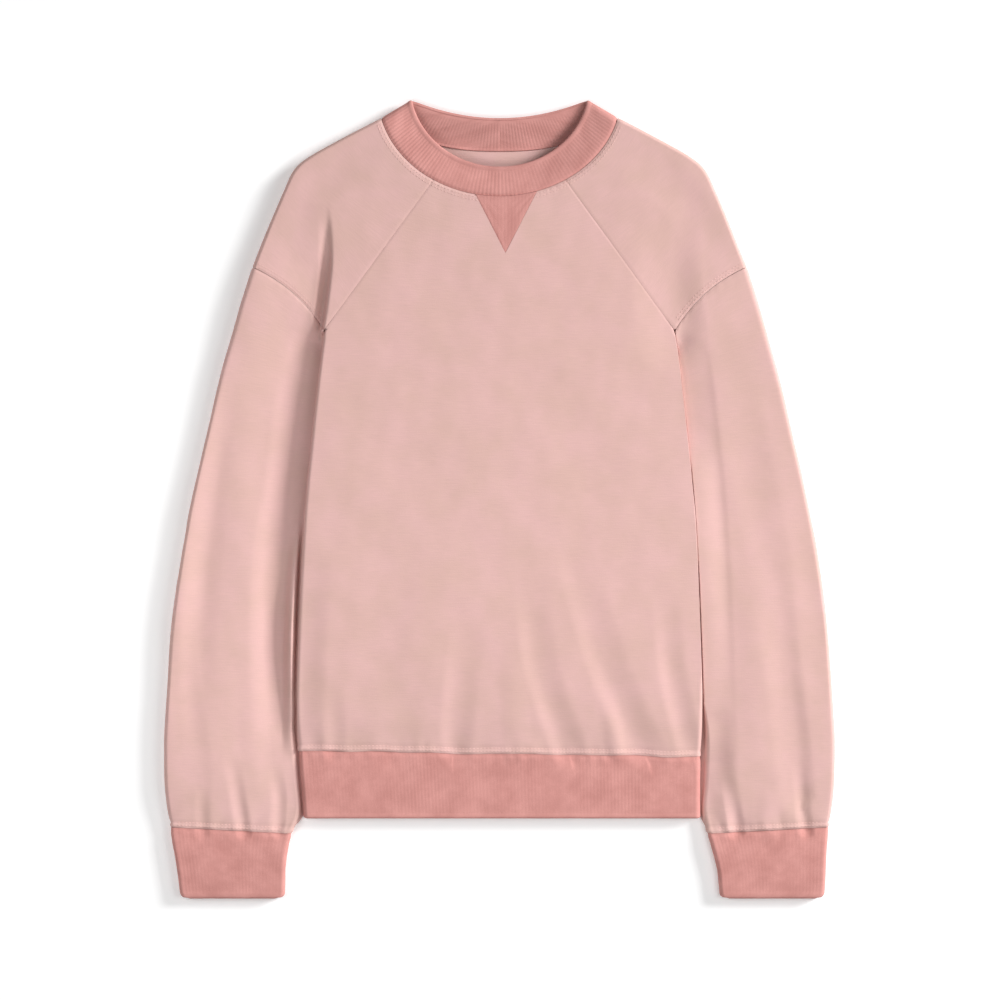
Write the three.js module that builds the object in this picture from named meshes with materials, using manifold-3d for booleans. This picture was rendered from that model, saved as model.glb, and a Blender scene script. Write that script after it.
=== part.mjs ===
// Crewneck sweatshirt, laid flat on its back with the sleeves straight down beside the body.
//
// Every piece that is cut and sewn is one closed wall of cloth: the front, the back, a shoulder panel
// on each side, the sleeves, and the ribbed collar, hem band, cuffs and V insert under the collar.
// Sizes are millimetres. +X is the wearer's left, +Y points to the neck and +Z is up.
// The origin is on the floor, under the middle of the garment.

import * as THREE from 'three';
import Module from 'manifold-3d';

const wasm = await Module();
wasm.setup();

const { lerp, clamp } = THREE.MathUtils;

// Driving dimensions of the cloth
const clothWall = 2;
const ribWall = 2.3;
const ribRise = 0.6;
const ribPitch = 3.2;
const seamGap = 0.3;
const sideSeamGap = 0.5;

// Driving dimensions of the neck, all from the middle of the garment. The collar's plan lengths are
// those of half the neck seam, from its middle to the fold at the shoulder.
const frontNeck = { halfWidth: 111.5, depth: 94, centreY: 371, reach: 1.341 };
const frontFreeEdge = { halfWidth: 82, depth: 76, centreY: 380.5, reach: 1.379 };
const backNeck = { halfWidth: 108.6, middleY: 319.2, rise: 30.4, power: 2.6 };
const backFreeEdge = { halfWidth: 80.5, middleY: 349.6, rise: 16.4, power: 2 };
const neckFold = 8;
const collarRibs = 152;
const collarPlan = { back: 116, front: 138 };
const collarTrim = 0.009;

// Driving dimensions of the seams on the body
const raglanFrontX = 60.3;
const raglanBackX = 62;
const raglanGap = 0.2;
const shoulderTrim = { neck: 0.0012, armhole: 0.0022 };
const underarm = { x: 160.5, y: 154, z: 7, round: 6 };
const cornerRelief = 1.4;
const reliefReach = 24;
const sideShare = 0.7;
const armholeBow = 7;
const armholeReach = 90;
const bodyFold = 6;
const shoulderFold = 8;

// Driving dimensions of the hem band, the cuffs and the V insert. A round is measured about the
// flattened band, and drawnIn is how far the band narrows towards its free edge on each side.
const hemSeam = { y: -233.5, tilt: -2.7, reach: 90 };
const hemEdge = { y: -292.8, z: 13, drawnIn: { right: 4.8, left: 0.3 } };
const hemInset = 0.5;
const hemRound = 752;
const cuffFall = 62;
const cuffRound = 212;
const cuffLean = { right: -3, left: 2 };
const insert = { x: 5.5, top: 284, tipY: 227.5, halfTop: 29.7, spare: 2 };

// Half width of the body up its side seam, from the hem band to the underarm
const bodySide = [
  { y: -233.5, half: 185 },
  { y: -185, half: 185.8 },
  { y: -130, half: 184.3 },
  { y: -56, half: 181.3 },
  { y: -1, half: 177.8 },
  { y: 73, half: 170.4 },
  { y: 128, half: 164.2 },
  { y: 154, half: 160.5 },
];

// How high the front lies above the floor, up the middle of the body
const frontHeight = [
  { y: -300, z: 13 },
  { y: -234, z: 14.5 },
  { y: -200, z: 18 },
  { y: -120, z: 20.5 },
  { y: 0, z: 21 },
  { y: 140, z: 20.5 },
  { y: 230, z: 19 },
  { y: 290, z: 18 },
  { y: 360, z: 17 },
];
const crown = { drop: 1.8, halfWidth: 220 };

// How high the back's side edges are lifted by the sleeves that are tucked under them
const edgeLift = [
  { y: -228, z: 0 },
  { y: -196, z: 8.3 },
  { y: 130, z: 8.3 },
  { y: 154, z: 4 },
  { y: 172, z: 0 },
];
const liftInner = 62;
const liftOuter = 20;

// The shoulder's outer edge in plan, from the collar seam to the armhole seam
const shoulderEdge = [
  { x: 108.6, y: 349.6 },
  { x: 147, y: 329.4 },
  { x: 175, y: 313.5 },
  { x: 188.5, y: 301.5 },
  { x: 198, y: 282.4 },
  { x: 209, y: 256.7 },
  { x: 226.8, y: 212.3 },
];

// The sleeve's two edges in plan, and its height at the inner edge and along its middle
const sleeveRows = [
  { down: 0, outerX: 226.8, outerY: 212.3, innerX: 160.5, innerY: 154, low: 14, high: 17.2 },
  { down: 9, outerX: 231, outerY: 200, innerX: 162.4, innerY: 147.5, low: 8.5, high: 17 },
  { down: 22, outerX: 237.5, outerY: 180, innerX: 160.5, innerY: 136, low: 6.6, high: 16.8 },
  { down: 43, outerX: 244.5, outerY: 155, innerX: 155.5, innerY: 121, low: 7, high: 16.5 },
  { down: 81, outerX: 257, outerY: 109.5, innerX: 152.3, innerY: 93, low: 7, high: 16.5 },
  { down: 131, outerX: 270, outerY: 54, innerX: 155, innerY: 49, low: 7, high: 16.5 },
  { down: 185, outerX: 282.5, outerY: -1, innerX: 160.5, innerY: -3, low: 7, high: 16.5 },
  { down: 239, outerX: 292.5, outerY: -56, innerX: 167, innerY: -56, low: 7, high: 16.5 },
  { down: 294, outerX: 300.3, outerY: -111, innerX: 173, innerY: -111, low: 7, high: 16.5 },
  { down: 349, outerX: 304.5, outerY: -166.5, innerX: 179.2, innerY: -166.5, low: 7, high: 16 },
  { down: 381, outerX: 306.5, outerY: -198, innerX: 186.5, innerY: -198, low: 7.5, high: 15.5 },
  { down: 405, outerX: 307.7, outerY: -222, innerX: 188.5, innerY: -222, low: 9, high: 15 },
  { down: 441, outerX: 307.3, outerY: -258.5, innerX: 187.8, innerY: -258.5, low: 9.5, high: 14.5 },
  { down: 468, outerX: 305, outerY: -284, innerX: 186, innerY: -286, low: 10, high: 13 },
  { down: 487, outerX: 302.2, outerY: -301, innerX: 190.5, innerY: -307, low: 11, high: 11.5 },
];
const sleeveLength = 487;

// How far the inner edge of each sleeve leans in against the hem band, down the sleeve
const sleeveLean = {
  right: [{ down: 392, x: 0 }, { down: 420, x: 2.6 }, { down: 470, x: 3.8 }, { down: 487, x: 0 }],
  left: [{ down: 392, x: 0 }, { down: 487, x: 0 }],
};
const sleeveFold = 8;
const sleeveClear = 4;
const sleeveRiseWidth = 34;
const sleeveBlend = 22;
const underarmRelief = 0.8;

// The cuff's two edges in plan, down from its seam, with its height
const cuffRows = [
  { down: 0, outerX: 302.2, outerY: -301, innerX: 190.5, innerY: -307, high: 11.5 },
  { down: 12, outerX: 300.8, outerY: -314, innerX: 193.8, innerY: -318, high: 12 },
  { down: 36, outerX: 298.3, outerY: -337, innerX: 198.2, innerY: -339, high: 12 },
  { down: 56, outerX: 296.9, outerY: -358, innerX: 199.6, innerY: -358.5, high: 11.5 },
  { down: 62, outerX: 295.2, outerY: -366.5, innerX: 200.6, innerY: -366.5, high: 11 },
];
const cuffFold = 5.5;

// Folds pressed into the cloth: a trough has a positive depth and a ridge a negative one. Each runs
// from one point to another, is as deep as given at its start and its end, and reaches a different
// way towards the middle of the garment and away from it.
const bodyFolds = [
  { x0: -157, y0: 266, x1: -162, y1: 154, start: 0, end: 6.5, inside: 12, outside: 28 },
  { x0: 157, y0: 262, x1: 162, y1: 154, start: 0, end: 6, inside: 14, outside: 34 },
  { x0: -16, y0: -108, x1: -31, y1: -228, start: 0.3, end: 2, inside: 17, outside: 17 },
  { x0: 38, y0: -60, x1: 66, y1: -228, start: 0.3, end: 2.4, inside: 20, outside: 20 },
  { x0: 88, y0: -40, x1: 128, y1: -228, start: 0.3, end: 2.6, inside: 22, outside: 22 },
  { x0: 150, y0: -90, x1: 172, y1: -228, start: 0.2, end: 2, inside: 15, outside: 15 },
  { x0: -152, y0: -180, x1: -150, y1: -230, start: 0.2, end: 1.6, inside: 12, outside: 12 },
];
const sleeveFolds = [
  { side: -1, across: 40, halfWidth: 16, from: 230, to: 480, depth: 2.2 },
  { side: -1, across: 84, halfWidth: 15, from: 330, to: 487, depth: 1.6 },
  { side: -1, across: 62, halfWidth: 18, from: 20, to: 190, depth: 1.8 },
  { side: 1, across: 46, halfWidth: 15, from: 250, to: 487, depth: 2 },
  { side: 1, across: 92, halfWidth: 15, from: 300, to: 487, depth: 1.8 },
  { side: 1, across: 66, halfWidth: 18, from: 30, to: 170, depth: 1.5 },
];

// Colours of the two cloths
const fleece = new THREE.MeshStandardMaterial({ color: '#e2bab3', roughness: 0.95, metalness: 0 });
const rib = new THREE.MeshStandardMaterial({ color: '#d2958e', roughness: 0.95, metalness: 0 });

// Reads one column of a table at any value of its key column, along a smooth curve.
function reader(rows, key, column) {
  const slope = (i) => {
    const before = rows[Math.max(i - 1, 0)];
    const after = rows[Math.min(i + 1, rows.length - 1)];
    return (after[column] - before[column]) / (after[key] - before[key]);
  };
  return (at) => {
    const value = clamp(at, rows[0][key], rows[rows.length - 1][key]);
    let i = 0;
    while (i < rows.length - 2 && rows[i + 1][key] < value) {
      i += 1;
    }
    const span = rows[i + 1][key] - rows[i][key];
    const t = (value - rows[i][key]) / span;
    const t2 = t * t;
    const t3 = t2 * t;
    return (2 * t3 - 3 * t2 + 1) * rows[i][column] + (3 * t2 - 2 * t3) * rows[i + 1][column]
      + (t3 - 2 * t2 + t) * span * slope(i) + (t3 - t2) * span * slope(i + 1);
  };
}

const halfBody = reader(bodySide, 'y', 'half');
const middleHeight = reader(frontHeight, 'y', 'z');
const liftAt = reader(edgeLift, 'y', 'z');
const shoulderCurve = new THREE.SplineCurve(shoulderEdge.map((p) => new THREE.Vector2(p.x, p.y)));

function smoothStep(x) {
  const t = clamp(x, 0, 1);
  return t * t * (3 - 2 * t);
}

// A soft hump, 1 in the middle and 0 from one half width outwards.
function hump(distance, halfWidth) {
  const x = Math.min(Math.abs(distance) / halfWidth, 1);
  return (1 - x * x) ** 2;
}

// How much the pressed folds take off the height of the body and shoulders at one place.
function foldDepth(x, y) {
  let depth = 0;
  for (const fold of bodyFolds) {
    const dx = fold.x1 - fold.x0;
    const dy = fold.y1 - fold.y0;
    const t = clamp(((x - fold.x0) * dx + (y - fold.y0) * dy) / (dx * dx + dy * dy), 0, 1);
    const nearX = fold.x0 + t * dx;
    const reach = Math.abs(x) > Math.abs(nearX) ? fold.outside : fold.inside;
    const distance = Math.hypot(x - nearX, y - fold.y0 - t * dy);
    depth += lerp(fold.start, fold.end, t) * hump(distance, reach);
  }
  return depth;
}

// How much lower the upper cloth lies towards its sides than in its middle.
function crownDrop(x) {
  return crown.drop * (x / crown.halfWidth) ** 2;
}

// The height of the outside of the upper cloth, before its edges are rounded.
function upper(x, y) {
  return middleHeight(y) - crownDrop(x) - foldDepth(x, y);
}

// The height of the outside of the lower cloth: flat on the floor, lifted over the tucked sleeves.
function lower(x, y) {
  const inwards = halfBody(y) - Math.abs(x);
  return liftAt(y) * smoothStep((liftInner - inwards) / (liftInner - liftOuter));
}

// Upper and lower cloth are drawn together round the underarm point, where four seams meet.
function drawnToUnderarm(x, y, z) {
  const distance = Math.hypot(Math.abs(x) - underarm.x, y - underarm.y);
  const open = 1 - clamp(distance / underarm.round, 0, 1);
  return underarm.z + Math.sqrt(1 - open * open) * (z - underarm.z);
}

// One step along flattened cloth that is folded over at its ends. It gives the plan distance from
// the first edge, and how far the cloth has turned from the edge (0) to lying flat (1).
function alongFold(fraction, width, firstRound, lastRound) {
  const first = firstRound * Math.PI / 2;
  const last = lastRound * Math.PI / 2;
  const length = first + width - firstRound - lastRound + last;
  const s = fraction * length;
  if (s < first) {
    return { distance: firstRound * (1 - Math.cos(s / firstRound)), open: Math.sin(s / firstRound) };
  }
  if (s > length - last) {
    const angle = (length - s) / lastRound;
    return { distance: width - lastRound * (1 - Math.cos(angle)), open: Math.sin(angle) };
  }
  return { distance: firstRound + s - first, open: 1 };
}

function evenSteps(count, from = 0, to = 1) {
  return Array.from({ length: count + 1 }, (_, i) => lerp(from, to, i / count));
}

// Builds one wall of cloth as a closed mesh. place(u, v) gives its outer face, u across or around it
// and v along it. Ribs lift every second outer column, over an inner face with fewer columns. They
// fade out underneath, where the cloth rests flat on the floor.
const ribFade = { from: 1, over: 4 };
function wall(place, { us, vs, around = false, thickness, outward = 1, ribbed = false, mirror = false }) {
  const ratio = ribbed ? 4 : 1;
  const step = 0.0004;
  const normal = (u, v) => {
    const wrap = (value) => (around ? (value + 1) % 1 : clamp(value, 0, 1));
    const du = place(wrap(u + step), v).sub(place(wrap(u - step), v));
    const dv = place(u, clamp(v + step, 0, 1)).sub(place(u, clamp(v - step, 0, 1)));
    return du.cross(dv).normalize().multiplyScalar(outward);
  };
  const points = [];
  const outer = vs.map((v) => us.map((u, i) => {
    const point = place(u, v);
    const clearOfFloor = smoothStep((point.z - ribFade.from) / ribFade.over);
    const rise = ribbed && i % 2 === 1 ? ribRise * clearOfFloor : 0;
    points.push(point.addScaledVector(normal(u, v), rise));
    return points.length - 1;
  }));
  const inner = vs.map((v) => us.filter((_, i) => i % ratio === 0).map((u) => {
    points.push(place(u, v).addScaledVector(normal(u, v), -thickness));
    return points.length - 1;
  }));
  const faces = [];
  const quads = (grid, turned) => {
    for (let j = 0; j < grid.length - 1; j += 1) {
      const last = around ? grid[j].length : grid[j].length - 1;
      for (let i = 0; i < last; i += 1) {
        const k = (i + 1) % grid[j].length;
        const [a, b, c, d] = [grid[j][i], grid[j][k], grid[j + 1][k], grid[j + 1][i]];
        faces.push(...(turned ? [[a, c, b], [a, d, c]] : [[a, b, c], [a, c, d]]));
      }
    }
  };
  const rim = (outside, inside, turned) => {
    const open = around ? 0 : 1;
    const pieces = inside.length - open;
    const each = (outside.length - open) / pieces;
    const middle = Math.floor(each / 2);
    for (let i = 0; i < pieces; i += 1) {
      const near = inside[i];
      const far = inside[(i + 1) % inside.length];
      const fine = evenSteps(each, i * each, (i + 1) * each).map((k) => outside[k % outside.length]);
      const strip = [[near, far, fine[middle]]];
      for (let k = 0; k < each; k += 1) {
        strip.push([k < middle ? near : far, fine[k + 1], fine[k]]);
      }
      faces.push(...(turned ? strip.map(([a, b, c]) => [a, c, b]) : strip));
    }
  };
  quads(outer, false);
  quads(inner, true);
  rim(outer[0], inner[0], false);
  rim(outer[outer.length - 1], inner[inner.length - 1], true);
  if (!around) {
    rim(outer.map((row) => row[0]), inner.map((row) => row[0]), true);
    rim(outer.map((row) => row[row.length - 1]), inner.map((row) => row[row.length - 1]), false);
  }
  const position = points.flatMap((p) => [mirror ? -p.x : p.x, p.y, p.z]);
  const turn = (outward < 0) !== mirror;
  const index = faces.flatMap(([a, b, c]) => (turn ? [a, c, b] : [a, b, c]));
  const geometry = new THREE.BufferGeometry();
  geometry.setAttribute('position', new THREE.Float32BufferAttribute(position, 3));
  geometry.setIndex(index);
  return geometry;
}

// Seam lines in plan, on the wearer's left side
const frontNeckAt = (t) => new THREE.Vector2(
  frontNeck.halfWidth * Math.sin(t * frontNeck.reach),
  frontNeck.centreY - frontNeck.depth * Math.cos(t * frontNeck.reach),
);
const frontFreeEdgeAt = (t) => new THREE.Vector2(
  frontFreeEdge.halfWidth * Math.sin(t * frontFreeEdge.reach),
  frontFreeEdge.centreY - frontFreeEdge.depth * Math.cos(t * frontFreeEdge.reach),
);
const powerCurve = (curve) => (t) => new THREE.Vector2(
  curve.halfWidth * t,
  curve.middleY + curve.rise * t ** curve.power,
);
const backNeckAt = powerCurve(backNeck);
const backFreeEdgeAt = powerCurve(backFreeEdge);
const frontNeckY = (x) => frontNeck.centreY
  - frontNeck.depth * Math.sqrt(1 - (x / frontNeck.halfWidth) ** 2);
const backNeckY = (x) => backNeckAt(Math.abs(x) / backNeck.halfWidth).y;
const underarmPoint = new THREE.Vector2(underarm.x, underarm.y);
const frontRaglanShare = Math.asin(raglanFrontX / frontNeck.halfWidth) / frontNeck.reach;
const backRaglanShare = raglanBackX / backNeck.halfWidth;
const sideLength = underarm.y - hemSeam.y;
const bowDirection = new THREE.Vector2(-0.66, 0.75);

// The front and the back: side seams up to the underarm, raglan seams up to the neck.
// Each row runs from the wearer's right to the wearer's left and bends into the neck at the top.
const neckBlendFrom = 0.55;
function bodyPlace(neckY, neckCornerX, isFront) {
  const neckCorner = new THREE.Vector2(neckCornerX, neckY(neckCornerX));
  const raglanLength = neckCorner.distanceTo(underarmPoint);
  const trim = seamGap / 2;
  return (u, v) => {
    const up = clamp(v * sideLength / sideShare, trim, sideLength);
    const onRaglan = v > sideShare;
    const raglan = Math.min((v - sideShare) / (1 - sideShare), 1 - trim / raglanLength);
    const edge = new THREE.Vector2(halfBody(hemSeam.y + up), hemSeam.y + up);
    if (onRaglan) {
      edge.lerpVectors(underarmPoint, neckCorner, raglan);
    }
    const fromUnderarm = onRaglan ? raglan * raglanLength : sideLength - up;
    const relief = cornerRelief * hump(fromUnderarm, reliefReach);
    const half = edge.x - (onRaglan ? raglanGap + relief : 0);
    const edgeHeight = Math.min(upper(-half, edge.y), upper(half, edge.y)) - lower(half, edge.y);
    const round = onRaglan ? 0 : Math.min(bodyFold, edgeHeight / 2);
    const slot = onRaglan ? 0 : (sideSeamGap / 2 + relief) / (2 * half);
    const { distance, open } = alongFold(lerp(slot, 1 - slot, u), 2 * half, round, round);
    const x = distance - half;
    const neckBlend = smoothStep((v - neckBlendFrom) / (1 - neckBlendFrom)) ** 2;
    const neckDrop = neckY(x * neckCornerX / half) - neckCorner.y;
    const hemBlend = 1 - smoothStep(up / hemSeam.reach);
    const y = edge.y + neckBlend * neckDrop + hemBlend * hemSeam.tilt * x / half;
    const flat = drawnToUnderarm(x, y, isFront ? upper(x, y) : lower(x, y));
    const edgeX = Math.sign(x) * half;
    const middle = (upper(edgeX, edge.y) + lower(edgeX, edge.y)) / 2;
    const z = round ? lerp(middle, flat, open) : flat;
    return new THREE.Vector3(x, y, z);
  };
}

const foldSteps = [0, 0.008, 0.016, 0.025];
function bodyColumns(inner) {
  const middle = evenSteps(inner, 0.025, 0.975).slice(1, -1);
  return [...foldSteps, ...middle, ...foldSteps.map((u) => 1 - u).reverse()];
}

// How far down a raglan seam, from the neck, each row of points crosses it
const raglanSteps = [0, 0.14, 0.28, 0.42, 0.55, 0.67, 0.77, 0.86, 0.94, 1];
const sideSteps = [0, 0.035, 0.09, 0.18, 0.3, 0.43, 0.56, 0.69, 0.8, 0.88, 0.94, 0.975];
const bodyRows = [
  ...sideSteps.map((s) => s * sideShare),
  ...raglanSteps.map((s) => 1 - s * (1 - sideShare)).reverse(),
];

// A shoulder panel: it runs from the front raglan seam over the shoulder's edge to the back one.
function shoulderPlace(side) {
  return (u, v) => {
    const along = clamp(v, shoulderTrim.neck, 1 - shoulderTrim.armhole);
    const isFront = u < 0.5;
    const share = isFront ? 1 - 2 * u : 2 * u - 1;
    const neckAt = isFront ? frontNeckAt : backNeckAt;
    const neckShare = isFront ? frontRaglanShare : backRaglanShare;
    const corner = neckAt(neckShare);
    const seam = new THREE.Vector2().lerpVectors(corner, underarmPoint, along);
    const edge = shoulderCurve.getPoint(along);
    const fromUnderarm = (1 - along) * corner.distanceTo(underarmPoint);
    const inset = raglanGap + cornerRelief * hump(fromUnderarm, reliefReach);
    seam.lerp(edge, inset / seam.distanceTo(edge));
    const width = seam.distanceTo(edge);
    const { distance, open } = alongFold(share, width, shoulderFold, 0);
    const t = clamp(1 - distance / width, 0, 1);
    const place = new THREE.Vector2().lerpVectors(seam, edge, t);
    const neckCurve = neckAt(lerp(neckShare, 1, t));
    const neckChord = new THREE.Vector2().lerpVectors(corner, neckAt(1), t);
    place.addScaledVector(neckCurve.sub(neckChord), 1 - along);
    place.addScaledVector(bowDirection, armholeBow * 4 * t * (1 - t) * along ** 2);
    const x = side * place.x;
    const flat = drawnToUnderarm(x, place.y, isFront ? upper(x, place.y) : lower(x, place.y));
    const middle = upper(side * edge.x, edge.y) / 2;
    return new THREE.Vector3(place.x, place.y, lerp(middle, flat, open));
  };
}
const shoulderColumns = [...evenSteps(8, 0, 0.42), 0.45, 0.475, 0.5, 0.525, 0.55, ...evenSteps(8, 0.58, 1)];

// A sleeve: a flattened tube from the armhole seam to the cuff, its seam along the inner edge.
const sleeveColumn = (column) => reader(sleeveRows, 'down', column);
const sleeveAt = {
  outerX: sleeveColumn('outerX'),
  outerY: sleeveColumn('outerY'),
  innerX: sleeveColumn('innerX'),
  innerY: sleeveColumn('innerY'),
  low: sleeveColumn('low'),
  high: sleeveColumn('high'),
};

function sleeveHeight(side, down, across, width) {
  const tucked = Math.max(halfBody(sleeveAt.innerY(down)) - sleeveAt.innerX(down), 0);
  const lowEnd = tucked + sleeveClear;
  const rise = smoothStep((across - lowEnd) / sleeveRiseWidth);
  let z = lerp(sleeveAt.low(down), sleeveAt.high(down), rise);
  for (const fold of sleeveFolds.filter((row) => row.side === side)) {
    const middle = (fold.from + fold.to) / 2;
    const length = (fold.to - fold.from) / 2;
    z -= fold.depth * hump(across - fold.across, fold.halfWidth) * hump(down - middle, length);
  }
  return z;
}

function sleevePlace(side, lean) {
  const leanAt = reader(lean, 'down', 'x');
  return (u, v) => {
    const share = u < 0.5 ? 2 * u : 2 - 2 * u;
    const startGap = seamGap + underarmRelief * hump(share, 0.1);
    const down = lerp(startGap, sleeveLength - seamGap, v);
    const inner = new THREE.Vector2(sleeveAt.innerX(down) - leanAt(down), sleeveAt.innerY(down));
    const outer = new THREE.Vector2(sleeveAt.outerX(down), sleeveAt.outerY(down));
    const width = inner.distanceTo(outer);
    const start = 1 - smoothStep(down / sleeveBlend);
    const innerRound = lerp(sleeveAt.low(down) / 2, underarm.round, start);
    const { distance, open } = alongFold(share, width, innerRound, sleeveFold);
    const t = distance / width;
    const place = new THREE.Vector2().lerpVectors(inner, outer, t);
    const bow = armholeBow * (1 - smoothStep(down / armholeReach));
    place.addScaledVector(bowDirection, bow * 4 * t * (1 - t));
    const x = side * place.x;
    const high = lerp(sleeveHeight(side, down, distance, width), upper(x, place.y), start);
    const outerMiddle = sleeveAt.high(down) / 2;
    const innerMiddle = lerp(sleeveAt.low(down) / 2, underarm.z, start);
    const middle = t > 0.5 ? outerMiddle : innerMiddle;
    return new THREE.Vector3(place.x, place.y, lerp(middle, u < 0.5 ? high : 0, open));
  };
}

function tubeColumns(inside) {
  const upperSide = [0, 0.014, 0.03, ...evenSteps(inside, 0.05, 0.91), 0.94, 0.97, 1];
  return [...upperSide.map((u) => u / 2), ...upperSide.slice(1, -1).map((u) => (2 - u) / 2).reverse()];
}
const sleeveSteps = [0, 9, 19, 33, 55, 90, 135, 185, 235, 285, 335, 375, 410, 445, 470, 487];

// A band of rib round a flattened opening, with its two edges given down its length.
function bandPlace(at, length, round) {
  return (u, v) => {
    const down = lerp(seamGap * 0.8, length, v);
    const { inner, outer, high } = at(down);
    const isUpper = u < 0.5;
    const share = isUpper ? 2 * u : 2 - 2 * u;
    const width = inner.distanceTo(outer);
    const { distance, open } = alongFold(share, width, round, round);
    const place = new THREE.Vector2().lerpVectors(inner, outer, distance / width);
    return new THREE.Vector3(place.x, place.y, lerp(high / 2, isUpper ? high : 0, open));
  };
}

function ribColumns(perimeter) {
  const ribs = 2 * Math.round(perimeter / ribPitch / 2);
  return evenSteps(2 * ribs).slice(0, -1);
}

function cuffAt(lean) {
  const column = (name) => reader(cuffRows, 'down', name);
  const outerX = column('outerX');
  const outerY = column('outerY');
  const innerX = column('innerX');
  const innerY = column('innerY');
  const high = column('high');
  return (down) => {
    const shift = lean * smoothStep(down / cuffFall);
    return {
      inner: new THREE.Vector2(innerX(down) + shift, innerY(down)),
      outer: new THREE.Vector2(outerX(down) + shift, outerY(down)),
      high: high(down),
    };
  };
}

// The hem band: from the seam to the free edge, drawing in a little on the wearer's right.
function hemAt(down) {
  const length = hemSeam.y - hemEdge.y;
  const share = down / length;
  const tilt = hemSeam.tilt * (1 - share);
  const half = halfBody(hemSeam.y) - hemInset;
  return {
    inner: new THREE.Vector2(-half + hemEdge.drawnIn.right * share, hemSeam.y - down - tilt),
    outer: new THREE.Vector2(half - hemEdge.drawnIn.left * share, hemSeam.y - down + tilt),
    high: lerp(upper(0, hemSeam.y), hemEdge.z, share),
  };
}

// The collar: a ring of rib, from the neck seam to its free edge, folded over at each shoulder.
function collarPlace(u, v) {
  const side = u < 0.5 ? 1 : -1;
  const share = u < 0.5 ? 2 * u : 2 - 2 * u;
  const along = lerp(collarTrim, 1, v);
  const backLength = collarPlan.back + neckFold * (Math.PI / 2 - 1);
  const frontLength = collarPlan.front + neckFold * (Math.PI / 2 - 1);
  const s = share * (backLength + frontLength) - backLength;
  const isFront = s > 0;
  const length = isFront ? frontLength : backLength;
  const plan = isFront ? collarPlan.front : collarPlan.back;
  const { distance, open } = alongFold(Math.abs(s) / length, plan, neckFold, 0);
  const t = clamp(1 - distance / plan, 0, 1);
  const seam = isFront ? frontNeckAt(t) : backNeckAt(t);
  const free = isFront ? frontFreeEdgeAt(t) : backFreeEdgeAt(t);
  const place = new THREE.Vector2().lerpVectors(seam, free, along);
  const high = middleHeight(place.y) - crownDrop(place.x);
  const z = lerp(high / 2, isFront ? high : 0, open);
  return new THREE.Vector3(side * place.x, place.y, z);
}

// Cuts a piece of cloth along an upright three-sided outline, and keeps its inside or its outside.
const knifeHeights = [-5, 60];
function cutAlong(geometry, outline, keepInside) {
  const toSolid = (source) => new wasm.Manifold(new wasm.Mesh({
    numProp: 3,
    vertProperties: new Float32Array(source.getAttribute('position').array),
    triVerts: new Uint32Array(source.getIndex().array),
  }));
  const knifeShape = new THREE.BufferGeometry();
  const knifePoints = knifeHeights.flatMap((z) => outline.flatMap((p) => [p.x, p.y, z]));
  knifeShape.setAttribute('position', new THREE.Float32BufferAttribute(knifePoints, 3));
  knifeShape.setIndex([0, 2, 1, 3, 4, 5, 0, 1, 4, 0, 4, 3, 1, 2, 5, 1, 5, 4, 2, 0, 3, 2, 3, 5]);
  const cloth = toSolid(geometry);
  const knife = toSolid(knifeShape);
  const cut = (keepInside ? cloth.intersect(knife) : cloth.subtract(knife)).getMesh();
  const result = new THREE.BufferGeometry();
  result.setAttribute('position', new THREE.Float32BufferAttribute(cut.vertProperties, 3));
  result.setIndex(Array.from(cut.triVerts));
  return result;
}

// The outline of the V insert, with its side seams moved in or out by a distance.
function insertOutline(offset) {
  const slope = (insert.top - insert.tipY) / insert.halfTop;
  const grown = offset * Math.hypot(1, slope);
  const tip = new THREE.Vector2(insert.x, insert.tipY - grown);
  const half = (insert.top - tip.y) / slope;
  return [
    tip,
    new THREE.Vector2(insert.x + half, insert.top),
    new THREE.Vector2(insert.x - half, insert.top),
  ];
}

const sweatshirt = new THREE.Group();
function addPiece(name, geometry, material) {
  const piece = new THREE.Mesh(geometry, material);
  piece.name = name;
  sweatshirt.add(piece);
}

const frontPlace = bodyPlace(frontNeckY, raglanFrontX, true);
const wholeFront = wall(frontPlace, { us: bodyColumns(18), vs: bodyRows, thickness: clothWall });
addPiece('front', cutAlong(wholeFront, insertOutline(seamGap / 2), false), fleece);

const backPlace = bodyPlace(backNeckY, raglanBackX, false);
addPiece('back', wall(backPlace, {
  us: bodyColumns(14),
  vs: bodyRows,
  thickness: clothWall,
  outward: -1,
}), fleece);

// The insert is rib, so a ribbed patch of wall takes the place of the front's there.
const ribbedPatch = (u, v) => {
  const half = insert.halfTop + insert.spare;
  const x = lerp(insert.x - half, insert.x + half, u);
  const y = lerp(insert.tipY - insert.spare, frontNeckY(x) - seamGap / 2, v);
  return new THREE.Vector3(x, y, upper(x, y));
};
addPiece('front_gusset', cutAlong(wall(ribbedPatch, {
  us: evenSteps(40),
  vs: evenSteps(6),
  thickness: clothWall,
  ribbed: true,
}), insertOutline(-seamGap / 2), true), rib);

for (const [side, name] of [[-1, 'right'], [1, 'left']]) {
  addPiece(`shoulder_${name}`, wall(shoulderPlace(side), {
    us: shoulderColumns,
    vs: raglanSteps,
    thickness: clothWall,
    outward: -1,
    mirror: side < 0,
  }), fleece);
  addPiece(`sleeve_${name}`, wall(sleevePlace(side, sleeveLean[name]), {
    us: tubeColumns(7),
    vs: sleeveSteps.map((down) => down / sleeveLength),
    around: true,
    thickness: clothWall,
    outward: -1,
    mirror: side < 0,
  }), fleece);
  addPiece(`cuff_${name}`, wall(bandPlace(cuffAt(cuffLean[name]), cuffFall, cuffFold), {
    us: ribColumns(cuffRound),
    vs: [0, 0.3, 1],
    around: true,
    thickness: ribWall,
    outward: -1,
    ribbed: true,
    mirror: side < 0,
  }), rib);
}

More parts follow.
